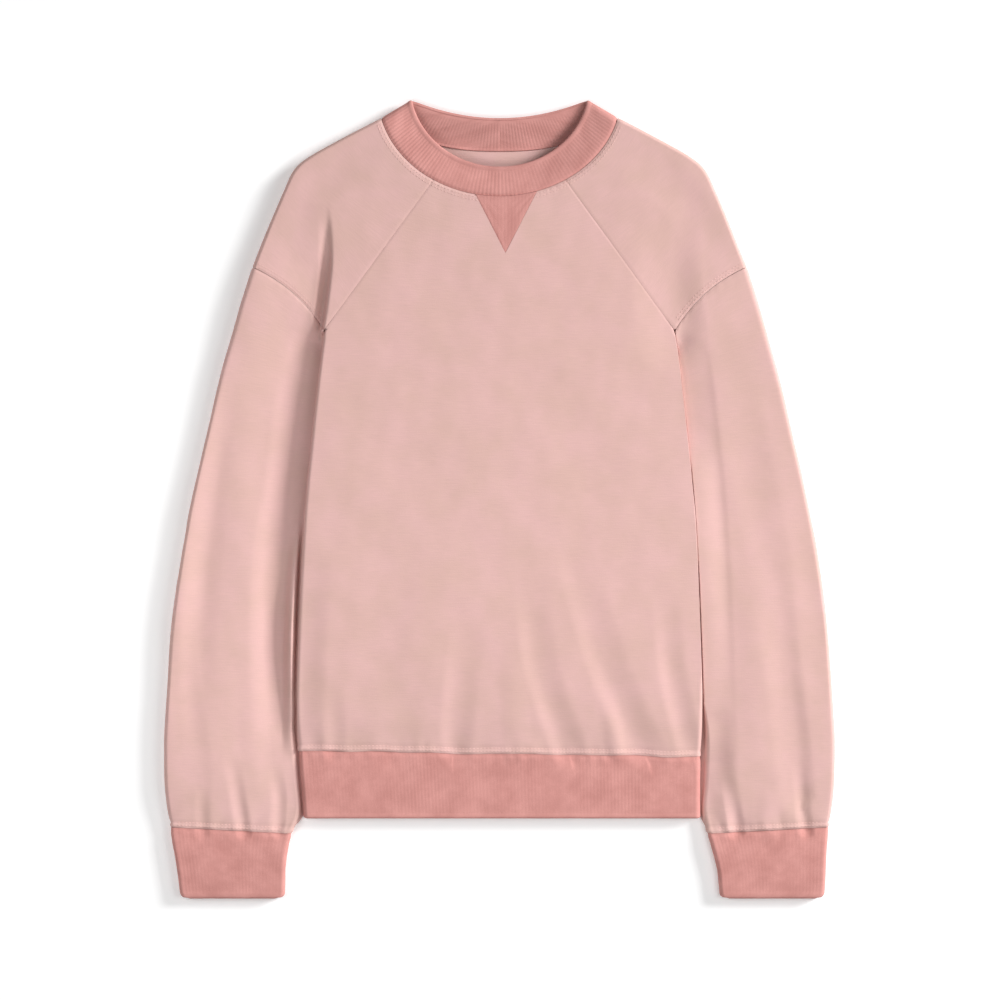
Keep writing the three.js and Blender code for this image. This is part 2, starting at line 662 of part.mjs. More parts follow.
addPiece('hem_rib', wall(bandPlace(hemAt, hemSeam.y - hemEdge.y, bodyFold), {
  us: ribColumns(hemRound),
  vs: [0, 1],
  around: true,
  thickness: ribWall,
  outward: -1,
  ribbed: true,
}), rib);

addPiece('collar_rib', wall(collarPlace, {
  us: evenSteps(2 * collarRibs).slice(0, -1),
  vs: [0, 1],
  around: true,
  thickness: ribWall,
  outward: -1,
  ribbed: true,
}), rib);

export default sweatshirt;
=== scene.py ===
# Crewneck sweatshirt, laid flat on its back with the sleeves straight down beside the body.
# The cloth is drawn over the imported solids, piece by piece, in the order in which it lies and is sewn.
# Sizes of the cloth are in millimetres and are turned to metres when a mesh is made.

import math

import bmesh
import bpy
import numpy as np
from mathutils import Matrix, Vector


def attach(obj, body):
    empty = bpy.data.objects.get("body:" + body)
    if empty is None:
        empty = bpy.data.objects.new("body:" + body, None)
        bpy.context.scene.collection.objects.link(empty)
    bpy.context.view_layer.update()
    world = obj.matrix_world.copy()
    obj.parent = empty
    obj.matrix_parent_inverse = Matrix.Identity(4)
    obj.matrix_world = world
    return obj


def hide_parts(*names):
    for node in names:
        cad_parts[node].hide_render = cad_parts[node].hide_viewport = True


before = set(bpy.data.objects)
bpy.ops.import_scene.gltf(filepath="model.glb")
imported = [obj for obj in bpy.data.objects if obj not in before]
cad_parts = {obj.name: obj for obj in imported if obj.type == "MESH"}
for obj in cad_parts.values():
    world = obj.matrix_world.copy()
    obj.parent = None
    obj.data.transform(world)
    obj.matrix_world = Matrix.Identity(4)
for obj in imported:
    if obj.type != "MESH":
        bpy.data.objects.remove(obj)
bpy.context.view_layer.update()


# Studio: a straight-down camera over a light table, as for a catalogue picture of a garment that lies
# flat. A soft key light stands far off and low to the right, which draws out the folds, and two soft
# fills and a pale room lighten the shadows.

MM = 0.001
PICTURE_WIDTH = 920 * MM
CAMERA_HEIGHT = 3.0
SENSOR = 36.0
LENS = SENSOR * CAMERA_HEIGHT / PICTURE_WIDTH
PICTURE_CENTRE = (0.46 * MM, -0.92 * MM)
ROOM_STRENGTH = 0.145
TABLE_GLOW = 0.2
TABLE_SIZE = 12.0
TABLE_DROP = 0.3 * MM


def linear(colour):
    """Turns an sRGB hex colour to the linear RGBA that shaders take."""
    parts = [int(colour[i:i + 2], 16) / 255 for i in (1, 3, 5)]
    return [c / 12.92 if c <= 0.04045 else ((c + 0.055) / 1.055) ** 2.4 for c in parts] + [1.0]


def add_node(material, kind, inputs=None, **settings):
    """Adds a node with its settings, and sets or links its inputs."""
    tree = material.node_tree
    added = tree.nodes.new(kind)
    for name, value in settings.items():
        setattr(added, name, value)
    for name, value in (inputs or {}).items():
        if isinstance(value, bpy.types.NodeSocket):
            tree.links.new(value, added.inputs[name])
        else:
            added.inputs[name].default_value = value
    return added


def new_material(name):
    """An empty material with only its output node."""
    material = bpy.data.materials.new(name)
    material.use_nodes = True
    material.node_tree.nodes.clear()
    return material


def add_light(name, place, size, power):
    """A square softbox that faces the middle of the garment."""
    light = bpy.data.lights.new(name, "AREA")
    light.size = size
    light.energy = power
    lamp = bpy.data.objects.new(name, light)
    lamp.location = place
    lamp.rotation_euler = (-Vector(place)).to_track_quat("-Z", "Y").to_euler()
    bpy.context.scene.collection.objects.link(lamp)


camera = bpy.data.objects.new("camera", bpy.data.cameras.new("camera"))
camera.data.sensor_width = SENSOR
camera.data.lens = LENS
camera.location = (*PICTURE_CENTRE, CAMERA_HEIGHT)
bpy.context.scene.collection.objects.link(camera)
bpy.context.scene.camera = camera

# Colours are shown as they are, with no film look over them
bpy.context.scene.view_settings.view_transform = "Standard"

add_light("far_key", (5.0, 2.2, 2.45), 2.0, 430)
add_light("fill_left", (-0.62, -0.15, 0.88), 0.5, 3.5)
add_light("fill_right", (0.52, -0.25, 0.98), 0.5, 3.5)

world = bpy.data.worlds.new("pale_room")
world.use_nodes = True
world.node_tree.nodes["Background"].inputs["Color"].default_value = linear("#fbfbfb")
world.node_tree.nodes["Background"].inputs["Strength"].default_value = ROOM_STRENGTH
bpy.context.scene.world = world

# White acrylic of a light table: it glows faintly, so that it holds only a soft, pale shadow
acrylic = new_material("white_acrylic_light_table")
acrylic_shader = add_node(acrylic, "ShaderNodeBsdfPrincipled", {
    "Base Color": linear("#fafafa"),
    "Roughness": 1.0,
    "Specular IOR Level": 0.0,
    "Emission Color": linear("#ffffff"),
    "Emission Strength": TABLE_GLOW,
})
add_node(acrylic, "ShaderNodeOutputMaterial", {"Surface": acrylic_shader.outputs["BSDF"]})
bpy.ops.mesh.primitive_plane_add(size=TABLE_SIZE, location=(0, 0, -TABLE_DROP))
floor = bpy.context.object
floor.name = "floor"
floor.data.materials.append(acrylic)


# Back panel: brushed fleece jersey, cut like the front with a higher neck. It lies flat on its outer
# face, and only its side edges are lifted, by the sleeves that are tucked under them.

FLEECE_WALL = 2.0
SEAM_GAP = 0.1
SIDE_SEAM_GAP = 0.2
HEM_SEAM_Y = -233.5
HEM_TILT = -2.7
HEM_TILT_REACH = 90
HEM_WAVE = 0.7
UNDERARM = (160.5, 154.0, 12.0)
UNDERARM_ROUND = 2.2
CORNER_RELIEF = 0.12
CORNER_RELIEF_REACH = 24
RAGLAN_GAP = 0.05
NO_FOLD = 0.001

# Up the cloth from the hem seam: the share of its rows below the underarm, and where its rows begin to
# bend towards the neck
SIDE_SHARE = 0.7
NECK_BLEND_FROM = 0.55

BACK_NECK = {"half_width": 108.6, "middle_y": 319.2, "rise": 30.4, "power": 2.6}
BACK_RAGLAN_X = 62.0

# Up the body from the hem band: y, and the half width to the side seam
BODY_SIDE = [(-233.5, 185), (-185, 185.8), (-130, 184.3), (-56, 181.3), (-1, 177.8), (73, 170.4),
             (128, 164.2), (154, 160.5)]

# Up the middle of the front: y, and how high it lies
FRONT_HEIGHT = [(-300, 13), (-234, 14.5), (-200, 18), (-120, 20.5), (0, 21), (140, 20.5), (230, 19),
                (290, 18), (360, 17)]
CROWN_DROP = 1.8
CROWN_HALF_WIDTH = 220

# Up the back's side edges: y, and how far the tucked sleeves lift them
EDGE_LIFT = [(-228, 0), (-196, 8.3), (130, 8.3), (154, 4), (172, 0)]
LIFT_INNER = 62
LIFT_OUTER = 20

# Up each side edge: y, how far the fold is rounded in the front and in the back, and how high between
# the two layers it stands out furthest. The left edge lies on the sleeve as a thin lip.
BODY_FOLD = {
    "right": [(-234, 4.5, 4.5, 0.5), (-190, 3.6, 3.6, 0.5), (140, 3.0, 3.0, 0.5), (154, 1.2, 1.2, 0.5)],
    "left": [(-234, 4.5, 4.5, 0.5), (-200, 3.0, 3.0, 0.5), (-150, 0.5, 3.0, 0.7), (-20, 0.4, 5.0, 0.82),
             (135, 0.4, 6.0, 0.82), (154, 0.8, 1.5, 0.6)],
}

# Creases of the body and shoulders. Each row is the places that the crease runs through, as x, y and
# depth (a ridge is negative), and how far it reaches to its left and to its right, seen along it.
BODY_CREASES = [
    # The deep crease at the wearer's right armpit, steep on the side of the body, in a broad hollow
    ((-158, 258, 0.0), (-157, 232, 1.8), (-158, 205, 4.0), (-165, 150, 5.5), 4.5, 9),
    ((-159, 270, 0.0), (-158, 232, 2.6), (-159, 205, 5.6), (-166, 150, 6.8), 5, 70),
    # The soft one at the left armpit
    ((157, 266, 0.0), (160, 205, 2.4), (165, 148, 3.0), 27, 42),
    # The body's right edge, pressed flatter towards the hem band
    ((-176, -40, 0.0), (-180, -130, 2.0), (-181, -225, 1.6), 24, 10),
    # Drag folds that run down to the hem band
    ((-30, -110, 0.2), (-38, -170, 1.2), (-42, -230, 1.7), 20, 15),
    ((24, -70, 0.2), (36, -155, 1.4), (62, -232, 2.0), 21, 15),
    ((62, -40, 0.2), (94, -148, 1.6), (130, -232, 2.2), 25, 17),
    ((150, -90, 0.2), (158, -165, 1.4), (174, -230, 1.8), 16, 13),
    ((-152, -180, 0.2), (-151, -206, 0.9), (-150, -231, 1.6), 12, 12),
    ((10, -120, 0.0), (14, -180, -0.5), (16, -230, -1.0), 16, 16),
    ((96, -170, 0.0), (103, -205, -0.7), (106, -231, -1.2), 11, 11),
    ((-85, -150, 0.0), (-92, -195, 0.5), (-94, -230, 1.0), 22, 22),
    # Broad, shallow waves in the chest and the belly
    ((-120, 60, 0.0), (-60, 30, 0.5), (20, 40, 0.0), 40, 40),
    ((60, 110, 0.0), (80, 20, 0.6), (70, -60, 0.0), 45, 35),
    ((-110, -20, 0.0), (-100, -90, 0.6), (-112, -170, 0.3), 35, 35),
    ((10, 190, 0.0), (60, 150, 0.4), (120, 150, 0.0), 30, 30),
    # The shoulders, where the cloth drapes from the collar to the armhole
    ((-118, 318, 0.0), (-165, 285, 0.8), (-190, 232, 0.3), 22, 22),
    ((122, 312, 0.0), (165, 278, 1.0), (196, 226, 0.5), 24, 24),
]


def read(rows, at, column=1):
    """One column of a table at any value of its first one, along a smooth curve."""
    key = np.array([row[0] for row in rows], float)
    value = np.array([row[column] for row in rows], float)
    last = len(key) - 1
    number = np.arange(last + 1)
    after = np.minimum(number + 1, last)
    before = np.maximum(number - 1, 0)
    slope = (value[after] - value[before]) / (key[after] - key[before])
    at = np.clip(at, key[0], key[-1])
    i = np.clip(np.searchsorted(key, at, side="right") - 1, 0, last - 1)
    span = key[i + 1] - key[i]
    t = (at - key[i]) / span
    return ((2 * t ** 3 - 3 * t ** 2 + 1) * value[i] + (3 * t ** 2 - 2 * t ** 3) * value[i + 1]
            + (t ** 3 - 2 * t ** 2 + t) * span * slope[i] + (t ** 3 - t ** 2) * span * slope[i + 1])


def smooth_step(x):
    t = np.clip(x, 0, 1)
    return t * t * (3 - 2 * t)


def hump(distance, half_width):
    """A soft hump, 1 in the middle and 0 from one half width outwards."""
    x = np.minimum(np.abs(distance) / half_width, 1)
    return (1 - x * x) ** 2


def near_line(x, y, line):
    """The distance to a line of points, its side (1 is left), and the length along it up to there."""
    best = np.full(np.shape(x), np.inf)
    side = np.ones(np.shape(x))
    run = np.zeros(np.shape(x))
    passed = 0.0
    for (ax, ay), (bx, by) in zip(line[:-1], line[1:]):
        dx, dy = bx - ax, by - ay
        length = math.hypot(dx, dy)
        t = np.clip(((x - ax) * dx + (y - ay) * dy) / length ** 2, 0, 1)
        ox, oy = x - ax - t * dx, y - ay - t * dy
        distance = np.hypot(ox, oy)
        closer = distance < best
        best = np.where(closer, distance, best)
        side = np.where(closer, np.sign(dx * oy - dy * ox), side)
        run = np.where(closer, passed + t * length, run)
        passed += length
    return best, side, run


def crease_depth(x, y, creases):
    """How deep all the creases are together at each place."""
    total = np.zeros(np.shape(x))
    for *places, left, right in creases:
        last = len(places) - 1
        number = np.linspace(0, last, 6 * last + 1)
        line_x, line_y, depth = (read(list(enumerate(column)), number) for column in zip(*places))
        distance, side, run = near_line(x, y, list(zip(line_x, line_y)))
        passed = np.concatenate([[0], np.cumsum(np.hypot(np.diff(line_x), np.diff(line_y)))])
        total += np.interp(run, passed, depth) * hump(distance, np.where(side > 0, left, right))
    return total


def half_body(y):
    return read(BODY_SIDE, y)


def crown_drop(x):
    return CROWN_DROP * (x / CROWN_HALF_WIDTH) ** 2


def upper(x, y):
    """The height of the outside of the cloth that faces up."""
    return read(FRONT_HEIGHT, y) - crown_drop(x) - crease_depth(x, y, BODY_CREASES)


def lower(x, y):
    """The height of the outside of the cloth that lies underneath."""
    inwards = half_body(y) - np.abs(x)
    return read(EDGE_LIFT, y) * smooth_step((LIFT_INNER - inwards) / (LIFT_INNER - LIFT_OUTER))


def drawn_to_underarm(x, y, z):
    """Draws the cloth together round the underarm point, where four seams meet."""
    distance = np.hypot(np.abs(x) - UNDERARM[0], y - UNDERARM[1])
    shut = 1 - np.clip(distance / UNDERARM_ROUND, 0, 1)
    return UNDERARM[2] + np.sqrt(1 - shut * shut) * (z - UNDERARM[2])


def along_fold(fraction, width, first_round, last_round=None):
    """A step along flattened cloth that is folded over at one or both ends: its plan distance from
    the first edge, and how far it has turned from an edge (0) to lying flat (1)."""
    first = first_round * math.pi / 2
    length = first + width - first_round
    if last_round is not None:
        length += last_round * (math.pi / 2 - 1)
    s = fraction * length
    first_angle = np.clip(s / first_round, 0, math.pi / 2)
    distance = np.where(s < first, first_round * (1 - np.cos(first_angle)), first_round + s - first)
    if last_round is None:
        return distance, np.sin(first_angle)
    last_angle = np.clip((length - s) / last_round, 0, math.pi / 2)
    is_last = length - s < last_round * math.pi / 2
    distance = np.where(is_last, width - last_round * (1 - np.cos(last_angle)), distance)
    return distance, np.sin(first_angle) * np.sin(last_angle)


def body_points(u, v, neck_y, corner_x, is_front):
    """The front or the back: side seams up to the underarm, then raglan seams up to the neck."""
    u, v = np.meshgrid(u, v)
    corner_y = neck_y(corner_x)
    raglan_length = math.hypot(UNDERARM[0] - corner_x, UNDERARM[1] - corner_y)
    side_length = UNDERARM[1] - HEM_SEAM_Y
    up = np.clip(v * side_length / SIDE_SHARE, SEAM_GAP / 2, side_length)
    on_raglan = v > SIDE_SHARE
    raglan = np.clip((v - SIDE_SHARE) / (1 - SIDE_SHARE), 0, 1 - SEAM_GAP / 2 / raglan_length)
    edge_x = np.where(on_raglan, UNDERARM[0] + raglan * (corner_x - UNDERARM[0]),
                      half_body(HEM_SEAM_Y + up))
    edge_y = np.where(on_raglan, UNDERARM[1] + raglan * (corner_y - UNDERARM[1]), HEM_SEAM_Y + up)
    from_underarm = np.where(on_raglan, raglan * raglan_length, side_length - up)
    relief = CORNER_RELIEF * hump(from_underarm, CORNER_RELIEF_REACH)
    half = edge_x - np.where(on_raglan, RAGLAN_GAP + relief, 0)
    side_height = np.minimum(upper(-half, edge_y), upper(half, edge_y)) - lower(half, edge_y)
    column = 1 if is_front else 2
    folds = [np.minimum(read(BODY_FOLD[name], edge_y, column), side_height / 2)
             for name in ("right", "left")]
    folds = [np.where(on_raglan, NO_FOLD, fold) for fold in folds]
    slot = np.where(on_raglan, 0, (SIDE_SEAM_GAP / 2 + relief) / (2 * half))
    distance, turned = along_fold(slot + u * (1 - 2 * slot), 2 * half, *folds)
    x = distance - half
    neck_blend = smooth_step((v - NECK_BLEND_FROM) / (1 - NECK_BLEND_FROM)) ** 2
    neck_drop = neck_y(np.clip(x / half, -1, 1) * corner_x) - corner_y
    hem_blend = 1 - smooth_step(up / HEM_TILT_REACH)
    y = edge_y + neck_blend * neck_drop + hem_blend * (HEM_TILT * x / half + hem_wave(x))
    flat = drawn_to_underarm(x, y, upper(x, y) if is_front else lower(x, y))
    edge = np.sign(x) * half
    stands_out = read(BODY_FOLD["left"], edge_y, 3)
    share = np.where(x > 0, stands_out, 0.5)
    middle = lower(edge, edge_y) + share * (upper(edge, edge_y) - lower(edge, edge_y))
    z = np.where(on_raglan, flat, middle + turned * (flat - middle))
    return np.stack([x, y, z], axis=-1)


def run_across(points):
    """The length along each row of a grid of points, up to each point."""
    return np.cumsum(np.linalg.norm(np.diff(points, axis=1, prepend=points[:, :1]), axis=-1), axis=1)


def wander(x, y, size, turn):
    """Soft unevenness between about -1 and 1: six waves about as long as size, each turned further."""
    total = np.zeros(np.shape(x))
    for k in range(6):
        angle = turn + 2.4 * k
        wave = 2 * math.pi / size * (0.62 + 0.15 * k)
        total += np.sin(wave * (x * math.cos(angle) + y * math.sin(angle)) + 1.7 * k + 5 * turn)
    return total / 3


def hem_wave(x):
    """How far the seam of the hem band wanders up and down."""
    return HEM_WAVE * wander(x, 0 * x, 64, 0.3)


def steps(*stretches):
    """Joins stretches of even steps, each given as its start, its end and how many steps it takes."""
    joined = [np.linspace(a, b, n, endpoint=False) for a, b, n in stretches]
    return np.concatenate(joined + [[stretches[-1][1]]])


def outward(points, around=False):
    """The unit normals of a grid of points."""
    if around:
        padded = np.concatenate([points[:, -1:], points, points[:, :1]], axis=1)
        across = np.gradient(padded, axis=1)[:, 1:-1]
    else:
        across = np.gradient(points, axis=1)
    normal = np.cross(across, np.gradient(points, axis=0))
    return normal / np.maximum(np.linalg.norm(normal, axis=-1, keepdims=True), 1e-9)


def cloth_map(points, around=False):
    """Where each point lies on the flat cloth, in metres: across from the middle, and along."""
    if around:
        points = np.concatenate([points, points[:, :1]], axis=1)
    across = np.linalg.norm(np.diff(points, axis=1), axis=-1)
    across = np.concatenate([np.zeros((len(points), 1)), np.cumsum(across, axis=1)], axis=1)
    middle = points.shape[1] // 2
    across -= across[:, middle:middle + 1]
    along = np.linalg.norm(np.diff(points[:, middle], axis=0), axis=-1)
    along = np.concatenate([[0], np.cumsum(along)])[:, None] + np.zeros_like(across)
    return np.stack([across, along], axis=-1) * MM


def add_cloth(name, points, wall, material, around=False, turned=False, cut=None):
    """Makes a sheet of cloth from a grid of points on its outer face, and gives it its thickness."""
    rows, columns = points.shape[:2]
    number = np.arange(rows * columns).reshape(rows, columns)
    if around:
        number = np.concatenate([number, number[:, :1]], axis=1)
    spot = np.arange(number.size).reshape(number.shape)

    def corners(grid):
        quad = [grid[:-1, :-1], grid[:-1, 1:], grid[1:, 1:], grid[1:, :-1]]
        return np.stack(quad[::-1] if turned else quad, axis=-1).reshape(-1, 4)

    mesh = bpy.data.meshes.new(name)
    mesh.from_pydata((points.reshape(-1, 3) * MM).tolist(), [], corners(number).tolist())
    flat = cloth_map(points, around).reshape(-1, 2)[corners(spot).reshape(-1)]
    mesh.uv_layers.new(name="cloth").data.foreach_set("uv", flat.reshape(-1))
    mesh.materials.append(material)
    piece = bpy.data.objects.new(name, mesh)
    bpy.context.scene.collection.objects.link(piece)
    if cut:
        cut(mesh)
    bpy.ops.object.select_all(action="DESELECT")
    piece.select_set(True)
    bpy.context.view_layer.objects.active = piece
    thickness = piece.modifiers.new("thickness", "SOLIDIFY")
    thickness.thickness = wall * MM
    thickness.offset = -1
    bpy.ops.object.modifier_apply(modifier=thickness.name)
    # The thickness may not push a corner of the cloth into the floor
    for corner in piece.data.vertices:
        corner.co.z = max(corner.co.z, 0)
    bpy.ops.object.shade_smooth_by_angle(angle=math.radians(50))
    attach(piece, "root")
    return piece


# Brushed cotton fleece, jersey face out: a soft matte knit that catches a little light in its nap.
# Its yarn is uneven, which shows as faint slubs along the courses and as a mottled colour.
COURSE = 1.1
SLUB_LENGTH = 14.0
MOTTLE = 38.0
fleece = new_material("brushed_cotton_fleece")
cloth_uv = add_node(fleece, "ShaderNodeUVMap", uv_map="cloth").outputs["UV"]
slub_place = add_node(fleece, "ShaderNodeMapping", {
    "Vector": cloth_uv,
    "Scale": (1 / (SLUB_LENGTH * MM), 1 / (COURSE * MM), 1.0),
}).outputs["Vector"]
slubs = add_node(fleece, "ShaderNodeTexNoise", {
    "Vector": slub_place,
    "Scale": 1.0,
    "Detail": 2.0,
    "Roughness": 0.6,
}, noise_dimensions="2D").outputs["Fac"]
mottle = add_node(fleece, "ShaderNodeTexNoise", {
    "Vector": cloth_uv,
    "Scale": 1 / (MOTTLE * MM),
    "Detail": 3.0,
    "Roughness": 0.55,
}, noise_dimensions="2D").outputs["Fac"]
fuzz = add_node(fleece, "ShaderNodeTexNoise", {
    "Vector": cloth_uv,
    "Scale": 1 / (COURSE * 1.2 * MM),
    "Detail": 3.0,
    "Roughness": 0.7,
}, noise_dimensions="2D").outputs["Fac"]
mottle_range = add_node(fleece, "ShaderNodeMapRange", {
    "Value": mottle,
    "From Min": 0.3,
    "From Max": 0.7,
}).outputs["Result"]
body_colour = add_node(fleece, "ShaderNodeMix", {
    "Factor": mottle_range,
    "A": linear("#dab3aa"),
    "B": linear("#e0b6b1"),
}, data_type="RGBA")
slub_range = add_node(fleece, "ShaderNodeMapRange", {
    "Value": slubs,
    "From Min": 0.25,
    "From Max": 0.75,
    "To Min": 0.975,
    "To Max": 1.025,
}).outputs["Result"]
fleece_colour = add_node(fleece, "ShaderNodeVectorMath", {
    0: body_colour.outputs["Result"],
    "Scale": slub_range,
}, operation="SCALE").outputs["Vector"]
fleece_height = add_node(fleece, "ShaderNodeMath", {0: slubs, 1: fuzz}, operation="ADD").outputs["Value"]
fleece_bump = add_node(fleece, "ShaderNodeBump", {
    "Height": fleece_height,
    "Strength": 0.25,
    "Distance": 0.25 * MM,
}).outputs["Normal"]
fleece_shader = add_node(fleece, "ShaderNodeBsdfPrincipled", {
    "Base Color": fleece_colour,
    "Roughness": 0.95,
    "Specular IOR Level": 0.15,
    "Sheen Weight": 0.07,
    "Sheen Roughness": 0.6,
    "Sheen Tint": linear("#ffe9e4"),
    "Normal": fleece_bump,
})
add_node(fleece, "ShaderNodeOutputMaterial", {"Surface": fleece_shader.outputs["BSDF"]})


def back_neck_y(x):
    share = np.abs(x) / BACK_NECK["half_width"]
    return BACK_NECK["middle_y"] + BACK_NECK["rise"] * share ** BACK_NECK["power"]


FOLD_SHARE = 0.025
back_columns = steps((0, FOLD_SHARE, 6), (FOLD_SHARE, 1 - FOLD_SHARE, 100), (1 - FOLD_SHARE, 1, 6))
back_rows = steps((0, SIDE_SHARE, 100), (SIDE_SHARE, 1, 50))
back_points = body_points(back_columns, back_rows, back_neck_y, BACK_RAGLAN_X, False)
back = add_cloth("back_panel", back_points, FLEECE_WALL, fleece, turned=True)
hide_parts("back")


# Front panel: the same fleece, with a lower neck and a notch for the V insert. Its seams are
# overlocked inside, so outside each one is a narrow, slightly puckered valley.

FRONT_NECK = {"half_width": 111.5, "depth": 94.0, "centre_y": 371.0, "reach": 1.341}
FRONT_RAGLAN_X = 60.3
INSERT = {"x": 5.5, "top": 284.0, "tip_y": 225.0, "half_top": 30.2}
NOTCH_MARGIN = 6.0

# Across a seam: how deep its valley is and how far it reaches. Along it: the pitch, depth and reach of
# the puckers that its thread draws up.
RAGLAN_VALLEY = (0.26, 1.0)
RAGLAN_PUCKERS = (9, 0.05, 4)
NECK_VALLEY = (1.0, 1.4)
NECK_PUCKERS = (7, 0.10, 6)
HEM_PUCKERS = (15, 0.30, 9)
HEM_GATHERS = (34, 0.5, 16)

# Both sides of a band's seam are sewn down to one depth, over the last stretch of the cloth
SEAM_SINK = 0.55
SEAM_SINK_REACH = 2.2


def front_neck_y(x):
    return FRONT_NECK["centre_y"] - FRONT_NECK["depth"] * np.sqrt(1 - (x / FRONT_NECK["half_width"]) ** 2)


def insert_outline(offset):
    """The tip and the two top corners of the V insert, with its side seams moved out by an offset."""
    slope = (INSERT["top"] - INSERT["tip_y"]) / INSERT["half_top"]
    tip_y = INSERT["tip_y"] - offset * math.hypot(1, slope)
    half = (INSERT["top"] - tip_y) / slope
    return (INSERT["x"], tip_y), (INSERT["x"] - half, INSERT["top"]), (INSERT["x"] + half, INSERT["top"])


def cut_notch(mesh):
    """Cuts the V for the insert out of the front."""
    tip, left, right = insert_outline(SEAM_GAP / 2)
    shape = bmesh.new()
    shape.from_mesh(mesh)
    for side, corner in ((-1, left), (1, right)):
        near = [f for f in shape.faces
                if left[0] - NOTCH_MARGIN < f.calc_center_median().x / MM < right[0] + NOTCH_MARGIN
                and f.calc_center_median().y / MM > tip[1] - NOTCH_MARGIN]
        geometry = {g for f in near for g in (f, *f.edges, *f.verts)}
        along = Vector((corner[0] - tip[0], corner[1] - tip[1], 0))
        bmesh.ops.bisect_plane(shape, geom=list(geometry), dist=1e-7,
                               plane_co=(tip[0] * MM, tip[1] * MM, 0),
                               plane_no=(along.y * side, -along.x * side, 0))
    slope = (INSERT["top"] - tip[1]) / (right[0] - tip[0])
    inside = [f for f in shape.faces
              if f.calc_center_median().y / MM - tip[1]
              > slope * abs(f.calc_center_median().x / MM - tip[0])]
    bmesh.ops.delete(shape, geom=inside, context="FACES")
    shape.to_mesh(mesh)
    shape.free()


def seam_valley(distance, sink, reach):
    """How far the cloth turns down towards a seam."""
    return -sink * np.exp(-(distance / reach) ** 2)


def sewn_down(relief, distance):
    """Brings the relief of both sides of a seam to one depth where they meet."""
    free = smooth_step(distance / SEAM_SINK_REACH)
    return relief * free - SEAM_SINK * (1 - free)


def puckers(run, distance, pitch, depth, reach):
    """Small gathers that the seam's thread draws up at right angles to it."""
    uneven = wander(run, run * 0.3, pitch * 7, 0.7)
    wave = np.sin(2 * math.pi * run / pitch + 2.5 * uneven)
    return depth * wave * (0.6 + 0.4 * uneven) * np.exp(-(distance / reach) ** 2)


def band_ridge(run, distance):
    """The uneven ridge that a band's seam pushes up in the fleece, with a shallow dip behind it."""
    rise = 0.42 + 0.22 * wander(run, run * 0.2, 24, 0.8)
    return rise * hump(distance - 2.1, 1.8) - 0.4 * hump(distance - 5.5, 2.6)


raglan_front_line = [(FRONT_RAGLAN_X, float(front_neck_y(FRONT_RAGLAN_X))), UNDERARM[:2]]


def front_relief(x, y):
    """The fine relief of the front, outwards from its outer face."""
    raglan, _, raglan_run = near_line(np.abs(x), y, raglan_front_line)
    hem_line_y = HEM_SEAM_Y + HEM_TILT * x / half_body(HEM_SEAM_Y) + hem_wave(x)
    above_hem = y - hem_line_y
    across = np.linspace(-FRONT_RAGLAN_X, FRONT_RAGLAN_X, 31)
    neck, _, neck_run = near_line(x, y, list(zip(across, front_neck_y(across))))
    relief = seam_valley(raglan, *RAGLAN_VALLEY) + puckers(raglan_run, raglan, *RAGLAN_PUCKERS)
    relief += seam_valley(neck, *NECK_VALLEY) + 0.25 * hump(neck - 2.4, 1.8)
    relief += puckers(neck_run, neck, *NECK_PUCKERS)
    relief += band_ridge(x, above_hem)
    relief += puckers(x, above_hem, *HEM_PUCKERS) + puckers(x + 40, above_hem, *HEM_GATHERS)
    relief += 0.10 * wander(x, y, 34, 0.4) + 0.22 * wander(x, y, 95, 1.3)
    return sewn_down(relief, above_hem)


# The columns are closest at the left edge, whose thin lip would otherwise turn into a slope
front_columns = steps((0, FOLD_SHARE, 8), (FOLD_SHARE, 1 - FOLD_SHARE, 168), (1 - FOLD_SHARE, 0.996, 6),
                      (0.996, 1, 6))
front_rows = steps((0, 0.03, 10), (0.03, SIDE_SHARE, 130), (SIDE_SHARE, 1, 78))
front_points = body_points(front_columns, front_rows, front_neck_y, FRONT_RAGLAN_X, True)
front_up = outward(front_points)
front_points += front_up * front_relief(front_points[..., 0], front_points[..., 1])[..., None]
front = add_cloth("front_panel", front_points, FLEECE_WALL, fleece, cut=cut_notch)
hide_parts("front")


# V insert: a small piece of rib let into the front under the middle of the collar. Its ribs run
# straight down, and its two sides are sewn flat to the fleece.

RIB_WALL = 2.3
RIB_PITCH = 3.2
RIB_MOTTLE = 22.0
RIB_FUZZ = 1.0
RIB_DEPTH = {"insert": 0.05, "cuff": 0.12, "hem": 0.1, "collar": 0.2}
INSERT_VALLEY = (0.2, 1.2)

# Cotton one-by-one rib: a denser knit than the fleece, darker and a little more even. Its raised
# wales are in the mesh, and the noise stands for the single stitches and the cloth's soft wear.
rib_knit = new_material("cotton_one_by_one_rib")
rib_uv = add_node(rib_knit, "ShaderNodeUVMap", uv_map="cloth").outputs["UV"]
rib_mottle = add_node(rib_knit, "ShaderNodeTexNoise", {
    "Vector": rib_uv,
    "Scale": 1 / (RIB_MOTTLE * MM),
    "Detail": 4.0,
    "Roughness": 0.6,
}, noise_dimensions="2D").outputs["Fac"]
rib_mottle_range = add_node(rib_knit, "ShaderNodeMapRange", {
    "Value": rib_mottle,
    "From Min": 0.3,
    "From Max": 0.7,
}).outputs["Result"]
rib_colour = add_node(rib_knit, "ShaderNodeMix", {
    "Factor": rib_mottle_range,
    "A": linear("#c98c85"),
    "B": linear("#d89a93"),
}, data_type="RGBA")
rib_fuzz = add_node(rib_knit, "ShaderNodeTexNoise", {
    "Vector": rib_uv,
    "Scale": 1 / (RIB_FUZZ * MM),
    "Detail": 3.0,
    "Roughness": 0.7,
}, noise_dimensions="2D").outputs["Fac"]
